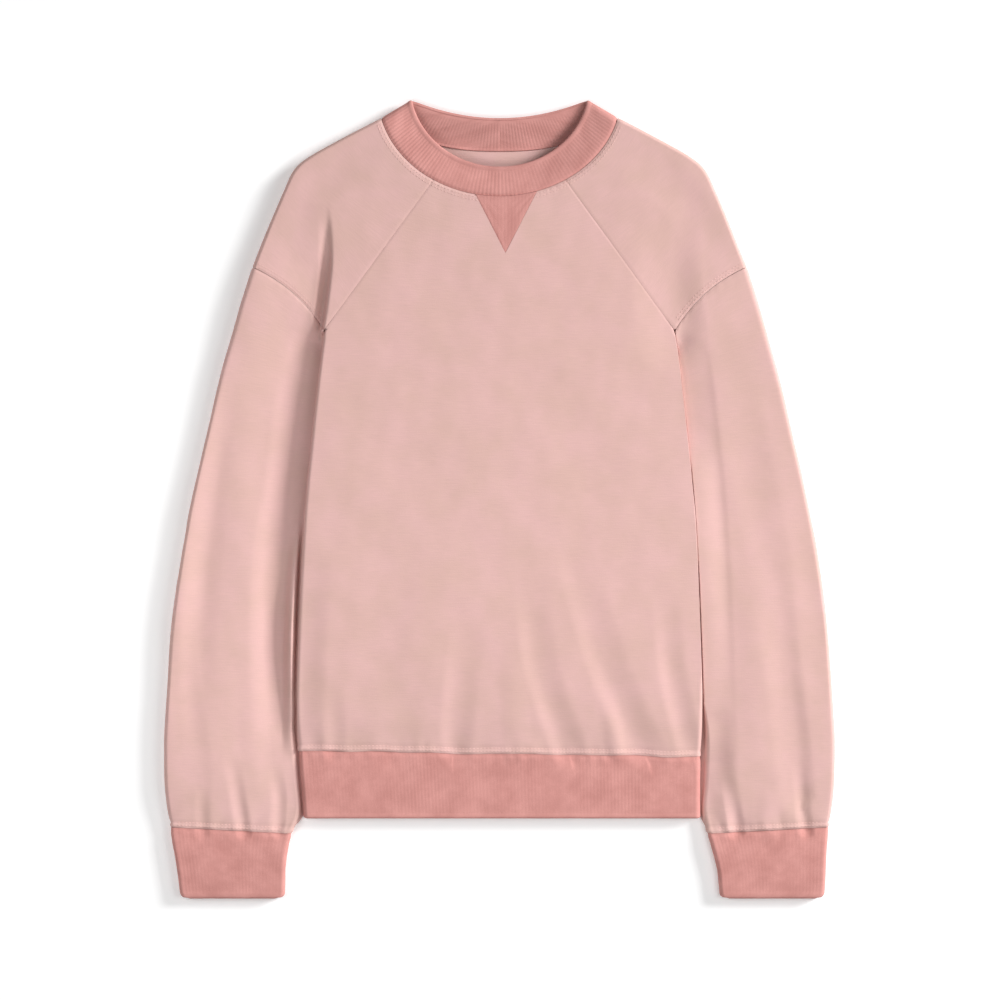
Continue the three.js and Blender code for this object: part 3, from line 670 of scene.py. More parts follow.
rib_fuzz_range = add_node(rib_knit, "ShaderNodeMapRange", {
    "Value": rib_fuzz,
    "From Min": 0.25,
    "From Max": 0.75,
    "To Min": 0.95,
    "To Max": 1.05,
}).outputs["Result"]
rib_shade = add_node(rib_knit, "ShaderNodeVectorMath", {
    0: rib_colour.outputs["Result"],
    "Scale": rib_fuzz_range,
}, operation="SCALE").outputs["Vector"]
rib_bump = add_node(rib_knit, "ShaderNodeBump", {
    "Height": rib_fuzz,
    "Strength": 0.4,
    "Distance": 0.25 * MM,
}).outputs["Normal"]
rib_shader = add_node(rib_knit, "ShaderNodeBsdfPrincipled", {
    "Base Color": rib_shade,
    "Roughness": 0.95,
    "Specular IOR Level": 0.15,
    "Sheen Weight": 0.06,
    "Sheen Roughness": 0.6,
    "Sheen Tint": linear("#ffe2dc"),
    "Normal": rib_bump,
})
add_node(rib_knit, "ShaderNodeOutputMaterial", {"Surface": rib_shader.outputs["BSDF"]})


def ribs(across, depth, pitch=RIB_PITCH):
    """The grooves between the ribs, as deep as given, with round wales between them."""
    wave = 0.5 + 0.5 * np.cos(2 * math.pi * across / pitch)
    return -depth * (1 - wave) ** 1.6


insert_tip, _, insert_corner = insert_outline(-SEAM_GAP / 2)
insert_slope = (insert_corner[1] - insert_tip[1]) / (insert_corner[0] - insert_tip[0])


def insert_side_y(x):
    return insert_tip[1] + insert_slope * np.abs(x - insert_tip[0])


across_neck = np.linspace(-40, 50, 9001)
under_neck = across_neck[front_neck_y(across_neck) - SEAM_GAP > insert_side_y(across_neck)]
insert_x = under_neck[0] + steps((0.004, 0.996, 130)) * (under_neck[-1] - under_neck[0])
insert_x, insert_down = np.meshgrid(insert_x, steps((0, 0.1, 4), (0.1, 0.9, 18), (0.9, 1, 4)))
insert_top_y = front_neck_y(insert_x) - SEAM_GAP
insert_y = insert_top_y + insert_down * (insert_side_y(insert_x) - insert_top_y)
insert_z = upper(insert_x, insert_y) + ribs(insert_x - INSERT["x"], RIB_DEPTH["insert"])
insert_z += seam_valley(insert_y - insert_side_y(insert_x), *INSERT_VALLEY)
insert_points = np.stack([insert_x, insert_y, insert_z], axis=-1)
insert = add_cloth("v_insert", insert_points, RIB_WALL, rib_knit, turned=True)
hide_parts("front_gusset")


# Shoulder panels: fleece again, one on each side. Each runs from the front raglan seam over the
# shoulder to the back one, and from the collar down to the armhole, where the sleeve is sewn on.

SHOULDER_FOLD = 4.0
SHOULDER_TRIM = (0.0006, 0.0012)
ARMHOLE_BOW = 7.0
BOW_TO = (-0.66, 0.75)
ARMHOLE_VALLEY = (0.4, 1.2)
ARMHOLE_PUCKERS = (10, 0.12, 6)
SHOULDER_NECK_VALLEY = (1.0, 1.8)

# Above the first height the cloth is in the upper layer, and below the second the floor presses it flat
UPPER_LAYER = 8.0
ON_FLOOR = 1.0

# Along the shoulder's outer edge, from the collar to the armhole: number, x and y
SHOULDER_EDGE = [(0, 108.6, 349.6), (1, 147, 329.4), (2, 175, 313.5), (3, 188.5, 301.5),
                 (4, 198, 282.4), (5, 209, 256.7), (6, 226.8, 212.3)]

SIDES = ((-1, "right"), (1, "left"))


def front_neck_at(t, edge=FRONT_NECK):
    """A place on the front edge of the neck, from its middle (0) to the shoulder (1)."""
    angle = t * edge["reach"]
    return np.stack([edge["half_width"] * np.sin(angle),
                     edge["centre_y"] - edge["depth"] * np.cos(angle)], axis=-1)


def back_neck_at(t, edge=BACK_NECK):
    """The same on the back edge."""
    return np.stack([edge["half_width"] * t, edge["middle_y"] + edge["rise"] * t ** edge["power"]], axis=-1)


def mix(a, b, t):
    """A place between two places."""
    return a + (b - a) * np.asarray(t)[..., None]


FRONT_RAGLAN_SHARE = math.asin(FRONT_RAGLAN_X / FRONT_NECK["half_width"]) / FRONT_NECK["reach"]
BACK_RAGLAN_SHARE = BACK_RAGLAN_X / BACK_NECK["half_width"]


def shoulder_half(share, v, side, is_front):
    """The front or the back half of a shoulder panel: share is 0 at its outer edge, 1 at its seam."""
    share, v = np.meshgrid(share, v)
    along = np.clip(v, SHOULDER_TRIM[0], 1 - SHOULDER_TRIM[1])
    neck_at = front_neck_at if is_front else back_neck_at
    neck_share = FRONT_RAGLAN_SHARE if is_front else BACK_RAGLAN_SHARE
    corner = neck_at(np.array(neck_share))
    underarm = np.array(UNDERARM[:2])
    seam = mix(corner, underarm, along)
    number = along * (len(SHOULDER_EDGE) - 1)
    edge = np.stack([read(SHOULDER_EDGE, number, 1), read(SHOULDER_EDGE, number, 2)], axis=-1)
    from_underarm = (1 - along) * np.linalg.norm(corner - underarm)
    inset = RAGLAN_GAP + CORNER_RELIEF * hump(from_underarm, CORNER_RELIEF_REACH)
    seam = mix(seam, edge, inset / np.linalg.norm(seam - edge, axis=-1))
    width = np.linalg.norm(seam - edge, axis=-1)
    distance, turned = along_fold(share, width, SHOULDER_FOLD)
    t = np.clip(1 - distance / width, 0, 1)
    place = mix(seam, edge, t)
    chord = mix(corner + np.zeros_like(place), neck_at(np.array(1.0)), t)
    place += (neck_at(neck_share + (1 - neck_share) * t) - chord) * (1 - along)[..., None]
    place += np.array(BOW_TO) * (ARMHOLE_BOW * 4 * t * (1 - t) * along ** 2)[..., None]
    x, y = side * place[..., 0], place[..., 1]
    flat = drawn_to_underarm(x, y, upper(x, y) if is_front else lower(x, y))
    middle = upper(side * edge[..., 0], edge[..., 1]) / 2
    return np.stack([x, y, middle + turned * (flat - middle)], axis=-1)


def shoulder_relief(points, to_armhole):
    """The valleys along the raglan and armhole seams and the collar, and the cloth's soft unevenness."""
    x, y, z = np.moveaxis(points, -1, 0)
    raglan, _, run = near_line(np.abs(x), y, raglan_front_line)
    neck_line = front_neck_at(np.linspace(0.3, 1, 25))
    neck, _, neck_run = near_line(np.abs(x), y, neck_line)
    upper_relief = seam_valley(raglan, *RAGLAN_VALLEY) + puckers(run, raglan, *RAGLAN_PUCKERS)
    upper_relief += seam_valley(neck, *SHOULDER_NECK_VALLEY) + puckers(neck_run, neck, *NECK_PUCKERS)
    around = run_across(points)
    relief = seam_valley(to_armhole, *ARMHOLE_VALLEY) + puckers(around, to_armhole, *ARMHOLE_PUCKERS)
    relief += 0.10 * wander(x, y, 34, 0.4) + 0.2 * wander(x, y, 95, 1.3)
    return np.where(z > UPPER_LAYER, upper_relief, 0) + np.where(z > ON_FLOOR, relief, 0)


shoulder_rows = steps((0, 0.06, 8), (0.06, 0.94, 66), (0.94, 1, 9))
shoulders = []
for side, name in SIDES:
    front_half = shoulder_half(1 - steps((0, 0.9, 66), (0.9, 1, 14)), shoulder_rows, side, True)
    back_half = shoulder_half(steps((0, 0.1, 14), (0.1, 1, 34)), shoulder_rows, side, False)
    points = np.concatenate([front_half, back_half[:, 1:]], axis=1)
    to_armhole = np.linalg.norm(points - points[-1:], axis=-1)
    points += -side * outward(points) * shoulder_relief(points, to_armhole)[..., None]
    shoulder = add_cloth(f"shoulder_panel_{name}", points, FLEECE_WALL, fleece, turned=side > 0)
    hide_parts(f"shoulder_{name}")
    shoulders.append(shoulder)


# Sleeves: one panel of fleece each, closed into a tube by a seam along its inner edge, and gathered
# a little into the cuff. The inner edge is tucked just under the body's side edge.

SLEEVE_LENGTH = 487.0
SLEEVE_FOLD = 4.0
ARMHOLE_REACH = 90.0

# Outwards from the body's edge: where each sleeve begins to rise, and how far it takes
SLEEVE_CLEAR = {"right": 4.0, "left": 1.0}
SLEEVE_RISE = {"right": 78.0, "left": 30.0}

# Down from the armhole: how far the sleeve takes to leave the shoulder's height, at its inner edge and
# further in, and how far its inner fold takes to grow to its full roundness
SLEEVE_BLEND = {"edge": 22.0, "middle": 62.0, "fold": 60.0}
MIDDLE_FROM = 6.0
MIDDLE_REACH = 30.0

# Down the sleeve: length, outer edge x and y, inner edge x and y, height at the inner edge and beyond
SLEEVE = [
    (0, 226.8, 212.3, 160.5, 154, 14, 17.2),
    (9, 231, 200, 159.8, 147.5, 9.5, 17),
    (22, 237.5, 180, 160.5, 136, 6.6, 16.8),
    (43, 244.5, 155, 155.5, 121, 7, 16.5),
    (81, 257, 109.5, 152.3, 93, 7, 16.5),
    (131, 270, 54, 155, 49, 7, 16.5),
    (185, 282.5, -1, 160.5, -3, 7, 16.5),
    (239, 292.5, -56, 167, -56, 7, 16.5),
    (294, 300.3, -111, 173, -111, 7, 16.5),
    (349, 304.5, -166.5, 179.2, -166.5, 7, 16),
    (381, 306.5, -198, 186.5, -198, 7.5, 15.5),
    (405, 307.7, -222, 188.5, -222, 9, 15),
    (441, 307.3, -258.5, 187.8, -258.5, 9.5, 14.5),
    (468, 305, -284, 186, -286, 10, 13),
    (487, 302.2, -301, 190.5, -307, 11, 11.5),
]

# How far the inner edge of each sleeve leans in against the hem band, down the sleeve, and how far its
# lower layer reaches on under the band's edge
SLEEVE_LEAN = {
    "right": [(392, 0), (420, 2.6), (470, 3.8), (487, 0)],
    "left": [(392, 0), (487, 0)],
}
SLEEVE_LIP = {
    "right": [(0, 0), (9, 3.4), (24, 0), (40, 0), (330, 0), (345, 0), (378, 4.2), (408, 4.4), (470, 4.2),
              (485, 0)],
    "left": [(0, 0), (9, 3.4), (24, 0), (40, 0), (330, 0), (345, 0), (378, 4.6), (405, 5.8), (441, 5.8),
             (470, 3.6), (485, 0)],
}
LIP_HEIGHT = 6.0
LIP_WIDTH = 20.0

CUFF_PUCKERS = (11, 0.35, 8)
CUFF_GATHERS = (27, 0.7, 18)

# Creases of each sleeve, as those of the body
SLEEVE_CREASES = {
    "right": [
        # The trough beside the body's edge, in its shadow
        ((-176, 146, 0.0), (-188, 40, 2.6), (-202, -50, 3.2), (-205, -130, 3.4), (-200, -238, 0.0), 14, 26),
        # Further down a fold rises between the trough and the body
        ((-184, -20, 0.0), (-188, -75, -7.0), (-190.5, -130, -8.5), (-191, -190, -5.0), (-191, -236, 0.0),
         4.5, 9),
        # The whole sleeve lies flatter than the other one
        ((-232, 150, 0.0), (-248, 60, 3.4), (-262, -30, 4.2), (-272, -130, 3.8), (-266, -240, 0.0), 56, 24),
        ((-246, -238, 0.2), (-240, -268, 1.3), (-234, -306, 2.6), 8, 9),
        ((-205, -250, 0.2), (-202, -275, 1.2), (-204, -305, 1.6), 8, 8),
        ((-270, -255, 0.0), (-272, -280, 0.8), (-272, -306, 1.2), 8, 8),
        ((-262, 60, 0.0), (-272, -60, 1.0), (-278, -170, 0.3), 20, 20),
        ((-226, 120, 0.0), (-238, 20, -0.8), (-236, -100, -0.2), 22, 22),
        ((-292, -90, 0.0), (-290, -160, 1.2), (-276, -250, 0.6), 16, 22),
        ((-225, -140, 0.0), (-226, -200, -0.8), (-222, -260, -0.6), 16, 16),
    ],
    "left": [
        # The sleeve comes up beside the body's edge, and lies level with it half way down
        ((161.6, 150, -6.5), (165.7, 118, -6.8), (171.2, 70, -7.4), (174.2, 42, -9.0), (177.1, 15, -11.3),
         (181.9, -50, -11.6), (184.1, -100, -10.5), (186.1, -150, -9.0), (187.9, -200, -6.0),
         (189, -242, 0.0), 27, 1.3),
        ((210, -255, 0.2), (214, -280, 1.5), (219, -306, 2.8), 8, 9),
        ((274, -245, 0.3), (277, -272, 1.2), (280, -305, 2.2), 8, 8),
        ((246, -262, 0.0), (246, -280, -0.6), (247, -306, -1.0), 12, 12),
        ((253, -70, 0.2), (267, -180, 1.4), (277, -270, 1.8), 14, 24),
        ((228, -20, 0.0), (236, -130, -0.9), (236, -240, -0.5), 24, 24),
        ((215, 100, 0.0), (232, 20, 0.8), (246, -60, 0.2), 22, 22),
        ((262, 60, 0.0), (284, -60, 0.7), (292, -170, 0.4), 18, 18),
        ((200, -150, 0.0), (202, -215, 0.8), (206, -262, 0.6), 12, 12),
    ],
}


def over_and_back(u):
    """Round a flattened tube: 0 to 1 over its top, and back to 0 underneath."""
    return np.where(u < 0.5, 2 * u, 2 - 2 * u)


def sleeve_points(u, down, side, name):
    """The outer face of a sleeve: u goes round it from its inner edge, over the top first."""
    u, down = np.meshgrid(u, down)
    share = over_and_back(u)
    outer_x, outer_y, inner_x, inner_y, low, high = (read(SLEEVE, down, k) for k in range(1, 7))
    inner = np.stack([inner_x - read(SLEEVE_LEAN[name], down), inner_y], axis=-1)
    outer = np.stack([outer_x, outer_y], axis=-1)
    width = np.linalg.norm(outer - inner, axis=-1)
    start = 1 - smooth_step(down / SLEEVE_BLEND["edge"])
    inner_fold = low / 2 + (1 - smooth_step(down / SLEEVE_BLEND["fold"])) * (UNDERARM_ROUND - low / 2)
    distance, turned = along_fold(share, width, inner_fold, SLEEVE_FOLD)
    t = distance / width
    place = mix(inner, outer, t)
    bow = ARMHOLE_BOW * (1 - smooth_step(down / ARMHOLE_REACH)) * 4 * t * (1 - t)
    place += np.array(BOW_TO) * bow[..., None]
    x, y = side * place[..., 0], place[..., 1]
    tucked = np.maximum(half_body(inner_y) - inner_x, 0)
    rise = smooth_step((distance - tucked - SLEEVE_CLEAR[name]) / SLEEVE_RISE[name])
    top = low + (high - low) * rise - crease_depth(x, y, SLEEVE_CREASES[name])
    inwards = smooth_step((distance - tucked - MIDDLE_FROM) / MIDDLE_REACH)
    blend = SLEEVE_BLEND["edge"] + (SLEEVE_BLEND["middle"] - SLEEVE_BLEND["edge"]) * inwards
    top += (1 - smooth_step(down / blend)) * (upper(x, y) - top)
    middle = np.where(t > 0.5, high / 2, low / 2 + start * (UNDERARM[2] - low / 2))
    flat = np.where(u < 0.5, top, 0)
    z = middle + turned * (flat - middle)
    is_low = smooth_step((LIP_HEIGHT - z) / 4) * smooth_step((LIP_WIDTH - distance) / 14)
    return np.stack([x - side * read(SLEEVE_LIP[name], down) * is_low, y, z], axis=-1)


def sleeve_relief(points, down):
    """The valley under the armhole seam, the gathered ridge over the cuff, and soft unevenness."""
    x, y, z = np.moveaxis(points, -1, 0)
    around = run_across(points)
    to_cuff = SLEEVE_LENGTH - down
    relief = seam_valley(down, *ARMHOLE_VALLEY) + puckers(around, down, *ARMHOLE_PUCKERS)
    relief += band_ridge(around, to_cuff)
    relief += puckers(around, to_cuff, *CUFF_PUCKERS) + puckers(around + 30, to_cuff, *CUFF_GATHERS)
    relief += 0.10 * wander(x, y, 34, 0.9) + 0.25 * wander(x, y, 88, 2.2)
    return sewn_down(relief, to_cuff) * smooth_step(z / 3)


# Round the sleeve, the columns are closest beside the body's edge
sleeve_round = steps((0, 0.016, 6), (0.016, 0.1, 56), (0.1, 0.475, 46), (0.475, 0.525, 18),
                     (0.525, 0.975, 24), (0.975, 1, 8))[:-1]
sleeve_down = steps((SEAM_GAP, 14, 10), (14, 450, 150), (450, SLEEVE_LENGTH - SEAM_GAP, 26))
sleeves = []
for side, name in SIDES:
    points = sleeve_points(sleeve_round, sleeve_down, side, name)
    down = sleeve_down[:, None] + np.zeros(points.shape[:2])
    points += -side * outward(points, around=True) * sleeve_relief(points, down)[..., None]
    sleeve = add_cloth(f"sleeve_cloth_{name}", points, FLEECE_WALL, fleece, around=True, turned=side > 0)
    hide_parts(f"sleeve_{name}")
    sleeves.append(sleeve)


# Cuffs: a band of rib each, folded double at its free edge and stretched on to the sleeve's end, so
# that it flares at its seam. The fold makes a soft, rounded edge.

CUFF_FALL = 62.0
CUFF_ROUND = 212.0
CUFF_FOLD = 3.5
CUFF_CORNER = 4.0
CUFF_LEAN = {"right": -3.0, "left": 2.0}
EDGE_ROUND = 1.3
BAND_VALLEY = (0.9, 2.2)

# Down the cuff: length, outer edge x and y, inner edge x and y, and height
CUFF = [
    (0, 302.2, -301, 190.5, -307, 11.5),
    (12, 300.8, -314, 193.8, -318, 12),
    (36, 298.3, -337, 198.2, -339, 12),
    (56, 296.9, -358, 199.6, -358.5, 11.5),
    (62, 295.2, -366.5, 200.6, -366.5, 11),
]


def rounded(distance, radius):
    """How far the outer face turns in over the last stretch to a rounded edge."""
    inside = np.clip(radius - distance, 0, radius)
    return np.sqrt(radius ** 2 - inside ** 2) - radius


def band_points(u, inner, outer, high, fold):
    """A flattened ring of rib: u goes round it from its inner edge, over the top first."""
    share = over_and_back(u)
    width = np.linalg.norm(outer - inner, axis=-1)
    distance, turned = along_fold(share, width, fold, fold)
    place = mix(inner, outer, distance / width)
    flat = np.where(u < 0.5, high, 0)
    return np.concatenate([place, (high / 2 + turned * (flat - high / 2))[..., None]], axis=-1)


def off_floor(points, relief):
    """Lets nothing stand out where the cloth lies on the floor."""
    return np.where(points[..., 2] > ON_FLOOR, relief, np.minimum(relief, 0))


def band_relief(around, down, length, depth, pucker):
    """The ribs, the valley at the seam with its puckers, and the rounded free edge."""
    uneven = 0.65 + 0.35 * wander(around, down * 0.6, 60, 0.3)
    fade = smooth_step((length - down) / 5)
    relief = ribs(around, depth) * uneven * fade
    relief += seam_valley(down, *BAND_VALLEY) + puckers(around, down, 13, pucker, 8)
    relief += rounded(length - down, EDGE_ROUND) + 0.25 * hump(length - down - 2.6, 2.4)
    return sewn_down(relief + 0.12 * wander(around, down, 30, 1.1), down)


def rib_columns(perimeter, each=4):
    """Even steps round a band, a few for each rib."""
    count = each * 2 * round(perimeter / RIB_PITCH / 2)
    return np.arange(count) / count


band_rows = steps((0, 0.12, 5), (0.12, 0.9, 14), (0.9, 1, 8))
cuff_u, cuff_down = np.meshgrid(rib_columns(CUFF_ROUND), SEAM_GAP + (CUFF_FALL - SEAM_GAP) * band_rows)
for side, name in SIDES:
    outer_x, outer_y, inner_x, inner_y, high = (read(CUFF, cuff_down, k) for k in range(1, 6))
    lean = CUFF_LEAN[name] * smooth_step(cuff_down / CUFF_FALL)
    corner = rounded(CUFF_FALL - cuff_down, CUFF_CORNER)
    inner = np.stack([inner_x + lean - corner, inner_y], axis=-1)
    outer = np.stack([outer_x + lean + corner, outer_y], axis=-1)
    # The sleeve's creases run on a little way into the cuff
    place = mix(inner, outer, over_and_back(cuff_u))
    high -= crease_depth(side * place[..., 0], place[..., 1], SLEEVE_CREASES[name])
    points = band_points(cuff_u, inner, outer, high, CUFF_FOLD)
    points[..., 0] *= side
    relief = band_relief(cuff_u * CUFF_ROUND, cuff_down, CUFF_FALL, RIB_DEPTH["cuff"], 0.3)
    relief = off_floor(points, relief)
    points += -side * outward(points, around=True) * relief[..., None]
    cuff = add_cloth(f"cuff_band_{name}", points, RIB_WALL, rib_knit, around=True, turned=side > 0)
    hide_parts(f"cuff_{name}")


# Hem band: one ring of rib round the body, folded double at its free edge and drawn in a little. Its
# seam pulls the fleece above it into small puckers.

HEM_EDGE_Y = -292.8
HEM_EDGE_Z = 13.0
HEM_FOLD = 4.5
HEM_INSET = 0.5
HEM_DRAWN_IN = {"right": 4.8, "left": 0.3}
HEM_LENGTH = HEM_SEAM_Y - HEM_EDGE_Y
HEM_ROUND = 752.0

hem_u, hem_down = np.meshgrid(rib_columns(HEM_ROUND), SEAM_GAP + (HEM_LENGTH - SEAM_GAP) * band_rows)
hem_share = hem_down / HEM_LENGTH
hem_half = half_body(HEM_SEAM_Y) - HEM_INSET
hem_tilt = HEM_TILT * (1 - hem_share)
hem_inner = np.stack([-hem_half + HEM_DRAWN_IN["right"] * hem_share,
                      HEM_SEAM_Y - hem_down - hem_tilt], axis=-1)
hem_outer = np.stack([hem_half - HEM_DRAWN_IN["left"] * hem_share,
                      HEM_SEAM_Y - hem_down + hem_tilt], axis=-1)
hem_top = upper(np.array(0.0), np.array(HEM_SEAM_Y))
hem_high = hem_top + (HEM_EDGE_Z - hem_top) * hem_share
# The body's creases run on a little way into the band
hem_x, hem_y = np.moveaxis(mix(hem_inner, hem_outer, over_and_back(hem_u)), -1, 0)
hem_high -= crown_drop(hem_x) * (1 - hem_share) + crease_depth(hem_x, hem_y, BODY_CREASES)
hem_points = band_points(hem_u, hem_inner, hem_outer, hem_high, HEM_FOLD)
hem_points[..., 1] += (1 - hem_share) * hem_wave(hem_points[..., 0])
hem_relief = band_relief(hem_u * HEM_ROUND, hem_down, HEM_LENGTH, RIB_DEPTH["hem"], 0.25)
hem_points -= outward(hem_points, around=True) * off_floor(hem_points, hem_relief)[..., None]
hem = add_cloth("hem_band", hem_points, RIB_WALL, rib_knit, around=True, turned=True)
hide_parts("hem_rib")


# Collar: a ring of rib, folded double along its free edge and stretched along its seam, so that its
# ribs fan out from the neck. It folds over at each shoulder, and its back half shows its inside.

FRONT_FREE_EDGE = {"half_width": 82.0, "depth": 76.0, "centre_y": 380.5, "reach": 1.379}
BACK_FREE_EDGE = {"half_width": 80.5, "middle_y": 349.6, "rise": 16.4, "power": 2.0}
NECK_FOLD = 8.0
COLLAR_RIBS = 152
COLLAR_BACK = 116.0
COLLAR_FRONT = 138.0
COLLAR_WIDTH = 29.0
COLLAR_ROUND = 508.0
COLLAR_VALLEY = (0.9, 1.8)

# How far the collar's free edge is pressed down in front, and lifted off the floor at the back
COLLAR_DROP = 3.5
COLLAR_LIFT = 6.0

# The ribs show most at the wearer's right front: where that is round the collar, and how far it reaches
CLEAREST_RIBS = (0.68, 0.13)


def collar_points(u, along):
    """The outer face of the collar: u goes round from the middle of the back, over the left shoulder."""
    side = np.where(u < 0.5, 1, -1)
    share = over_and_back(u)
    turn = NECK_FOLD * (math.pi / 2 - 1)
    back_length, front_length = COLLAR_BACK + turn, COLLAR_FRONT + turn
    s = share * (back_length + front_length) - back_length
    is_front = s > 0
    plan = np.where(is_front, COLLAR_FRONT, COLLAR_BACK)
    fraction = np.abs(s) / np.where(is_front, front_length, back_length)
    distance, turned = along_fold(fraction, plan, NECK_FOLD)
    t = np.clip(1 - distance / plan, 0, 1)
    is_front = is_front[..., None]
    seam = np.where(is_front, front_neck_at(t), back_neck_at(t))
    free = np.where(is_front, front_neck_at(t, FRONT_FREE_EDGE), back_neck_at(t, BACK_FREE_EDGE))
    place = mix(seam, free, along)
    high = read(FRONT_HEIGHT, place[..., 1]) - crown_drop(place[..., 0])
    pressed = smooth_step(along)
    flat = np.where(is_front[..., 0], high - COLLAR_DROP * pressed, COLLAR_LIFT * pressed)
    middle = (high + (COLLAR_LIFT - COLLAR_DROP) * pressed) / 2
    z = middle + turned * (flat - middle)
    return np.stack([side * place[..., 0], place[..., 1], z], axis=-1)


collar_u, collar_along = np.meshgrid(np.arange(5 * COLLAR_RIBS) / (5 * COLLAR_RIBS),
                                     steps((0.008, 0.12, 6), (0.12, 0.82, 12), (0.82, 1, 11)))
collar = collar_points(collar_u, collar_along)
from_edge = (1 - collar_along) * COLLAR_WIDTH
rib_fade = smooth_step((from_edge - 2.2) / 4.5)
collar_run = collar_u * COLLAR_ROUND
rib_uneven = 0.62 + 0.3 * wander(collar_run, from_edge * 0.5, 80, 0.5)
rib_uneven += hump(collar_u - CLEAREST_RIBS[0], CLEAREST_RIBS[1])
collar_relief = ribs(collar_u * COLLAR_RIBS, RIB_DEPTH["collar"], 1.0) * rib_fade * rib_uneven
collar_relief += rounded(from_edge, EDGE_ROUND) + 0.35 * hump(from_edge - 2.4, 2.6)
collar_relief += seam_valley(collar_along * COLLAR_WIDTH, *COLLAR_VALLEY)
collar_relief += 0.12 * wander(collar_run, from_edge, 34, 1.9)
collar -= outward(collar, around=True) * off_floor(collar, collar_relief)[..., None]
collar_band = add_cloth("collar_band", collar, RIB_WALL, rib_knit, around=True, turned=True)
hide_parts("collar_rib")


# Stitching: fine thread in the colour of the cloth. A twin needle holds the seam allowances down beside
# the front of the collar, the armholes, the hem band and the cuffs. Its short stitches sink into the nap.

STITCH_PITCH = 3.3
STITCH_LENGTH = 2.3
STITCH_RADIUS = 0.34
STITCH_SIDES = 5
THREAD_TONE = 9.0
HEM_STITCHES_TO = 178.0
TWIN_NEEDLE = (2.4, 5.2)

# Along a stitch: its share of the length, its thickness, and its rise out of the cloth, in radii
STITCH_RINGS = [(0, 0.5, -0.7), (0.2, 0.9, 0.1), (0.8, 0.9, 0.1), (1, 0.5, -0.7)]

# Polyester sewing thread: smoother than the cloth, so that each stitch catches a small light
thread = new_material("polyester_sewing_thread")
thread_place = add_node(thread, "ShaderNodeTexCoord").outputs["Object"]
thread_tone = add_node(thread, "ShaderNodeTexNoise", {
    "Vector": thread_place,
    "Scale": 1 / (THREAD_TONE * MM),
    "Detail": 2.0,
}).outputs["Fac"]
thread_colour = add_node(thread, "ShaderNodeMix", {
    "Factor": thread_tone,
    "A": linear("#dcaea6"),
    "B": linear("#f0cdc6"),
}, data_type="RGBA").outputs["Result"]
thread_shader = add_node(thread, "ShaderNodeBsdfPrincipled", {
    "Base Color": thread_colour,
    "Roughness": 0.6,
    "Specular IOR Level": 0.35,
})
add_node(thread, "ShaderNodeOutputMaterial", {"Surface": thread_shader.outputs["BSDF"]})


def on_cloth(pieces, x, y):
    """The highest point of some pieces straight below a place in plan, and its normal."""
    found = None
    for piece in pieces:
        hit, place, normal, _ = piece.ray_cast(Vector((x * MM, y * MM, 1)), Vector((0, 0, -1)))
        if hit and (found is None or place.z > found[0].z):
            found = place, normal
    return found


def beside(line, offset):
    """A plan line moved sideways, to its left where the offset is positive."""
    along = np.gradient(line, axis=0)
    along /= np.linalg.norm(along, axis=1, keepdims=True)
    return line + offset * np.stack([-along[:, 1], along[:, 0]], axis=-1)


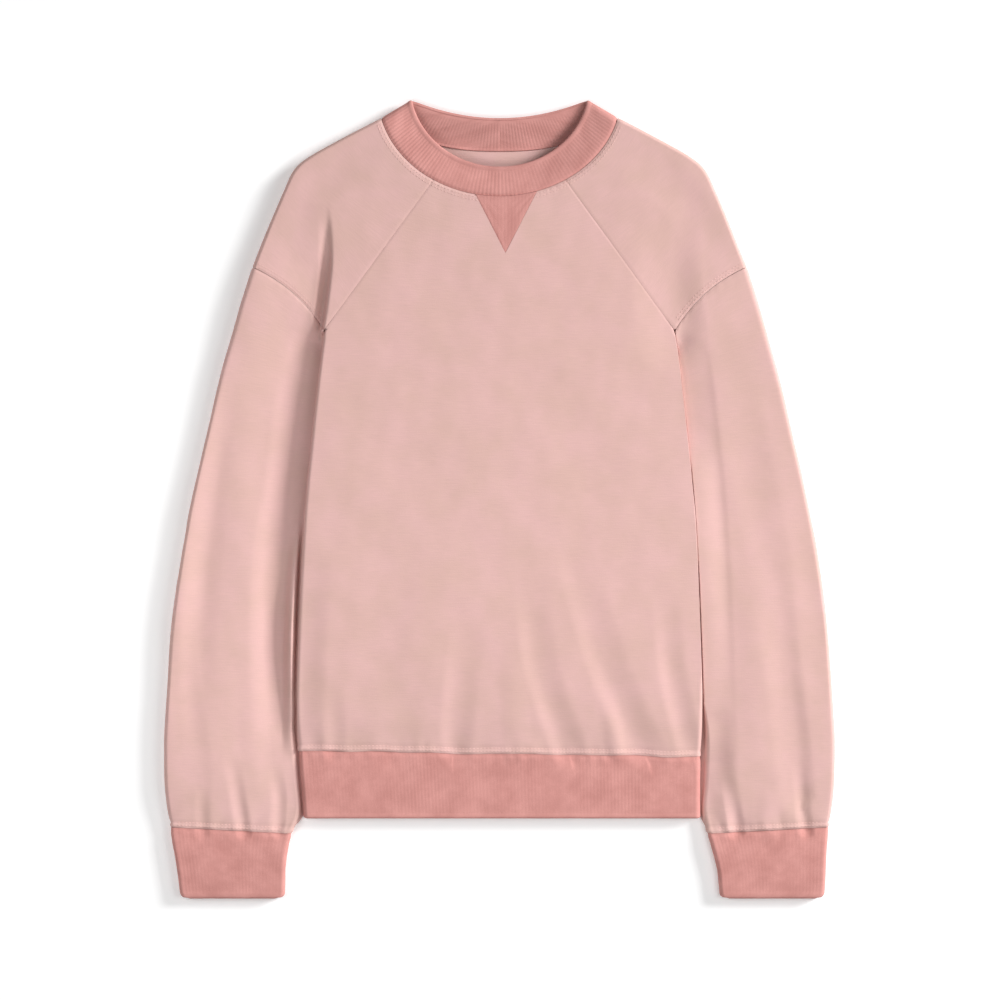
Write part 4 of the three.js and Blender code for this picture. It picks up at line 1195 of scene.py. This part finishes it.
def add_stitches(name, lines, pieces):
    """Lays a short stitch on the cloth at every pitch along some plan lines, all as one mesh."""
    points, faces = [], []
    turns = [2 * math.pi * k / STITCH_SIDES for k in range(STITCH_SIDES)]
    for line in lines:
        run = np.concatenate([[0], np.cumsum(np.linalg.norm(np.diff(line, axis=0), axis=1))])
        for start in np.arange(STITCH_PITCH / 2, run[-1] - STITCH_PITCH, STITCH_PITCH):
            at = [start, start + STITCH_LENGTH * (1 + 0.12 * math.sin(5.3 * start))]
            places = zip(np.interp(at, run, line[:, 0]), np.interp(at, run, line[:, 1]))
            ends = [on_cloth(pieces, x, y) for x, y in places]
            if None in ends:
                continue
            (head, head_up), (tail, tail_up) = ends
            up = (head_up + tail_up).normalized()
            across = (tail - head).cross(up).normalized()
            first = len(points)
            for share, size, rise in STITCH_RINGS:
                middle = head.lerp(tail, share) + up * rise * STITCH_RADIUS * MM
                for turn in turns:
                    spoke = across * math.cos(turn) + up * math.sin(turn)
                    points.append(middle + spoke * size * STITCH_RADIUS * MM)
            for ring in range(len(STITCH_RINGS) - 1):
                for k in range(STITCH_SIDES):
                    a = first + ring * STITCH_SIDES + k
                    b = first + ring * STITCH_SIDES + (k + 1) % STITCH_SIDES
                    faces.append((a, a + STITCH_SIDES, b + STITCH_SIDES, b))
            faces.append(tuple(range(first, first + STITCH_SIDES)))
            faces.append(tuple(range(len(points) - 1, len(points) - 1 - STITCH_SIDES, -1)))
    mesh = bpy.data.meshes.new(name)
    mesh.from_pydata(points, [], faces)
    mesh.materials.append(thread)
    stitches = bpy.data.objects.new(name, mesh)
    bpy.context.scene.collection.objects.link(stitches)
    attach(stitches, "root")


bpy.context.view_layer.update()
front_cloth = [front, *shoulders]
neck_line = front_neck_at(np.linspace(-0.97, 0.97, 161))
add_stitches("stitching_collar", [beside(neck_line, -offset) for offset in TWIN_NEEDLE], front_cloth)

hem_line_x = np.linspace(-HEM_STITCHES_TO, HEM_STITCHES_TO, 90)
hem_line_y = HEM_SEAM_Y + HEM_TILT * hem_line_x / half_body(HEM_SEAM_Y) + hem_wave(hem_line_x)
hem_line = np.stack([hem_line_x, hem_line_y], axis=-1)
add_stitches("stitching_hem", [beside(hem_line, offset) for offset in TWIN_NEEDLE], [front])

for side, name in SIDES:
    around_sleeve = np.linspace(0.05, 0.47, 60)
    armhole_line = sleeve_points(around_sleeve, [SEAM_GAP], side, name)[0, :, :2]
    armhole_lines = [beside(armhole_line, side * offset) for offset in TWIN_NEEDLE]
    add_stitches(f"stitching_armhole_{name}", armhole_lines, shoulders)
    cuff_line = sleeve_points(around_sleeve, [SLEEVE_LENGTH], side, name)[0, :, :2]
    cuff_lines = [beside(cuff_line, side * offset) for offset in TWIN_NEEDLE]
    add_stitches(f"stitching_cuff_{name}", cuff_lines, sleeves)
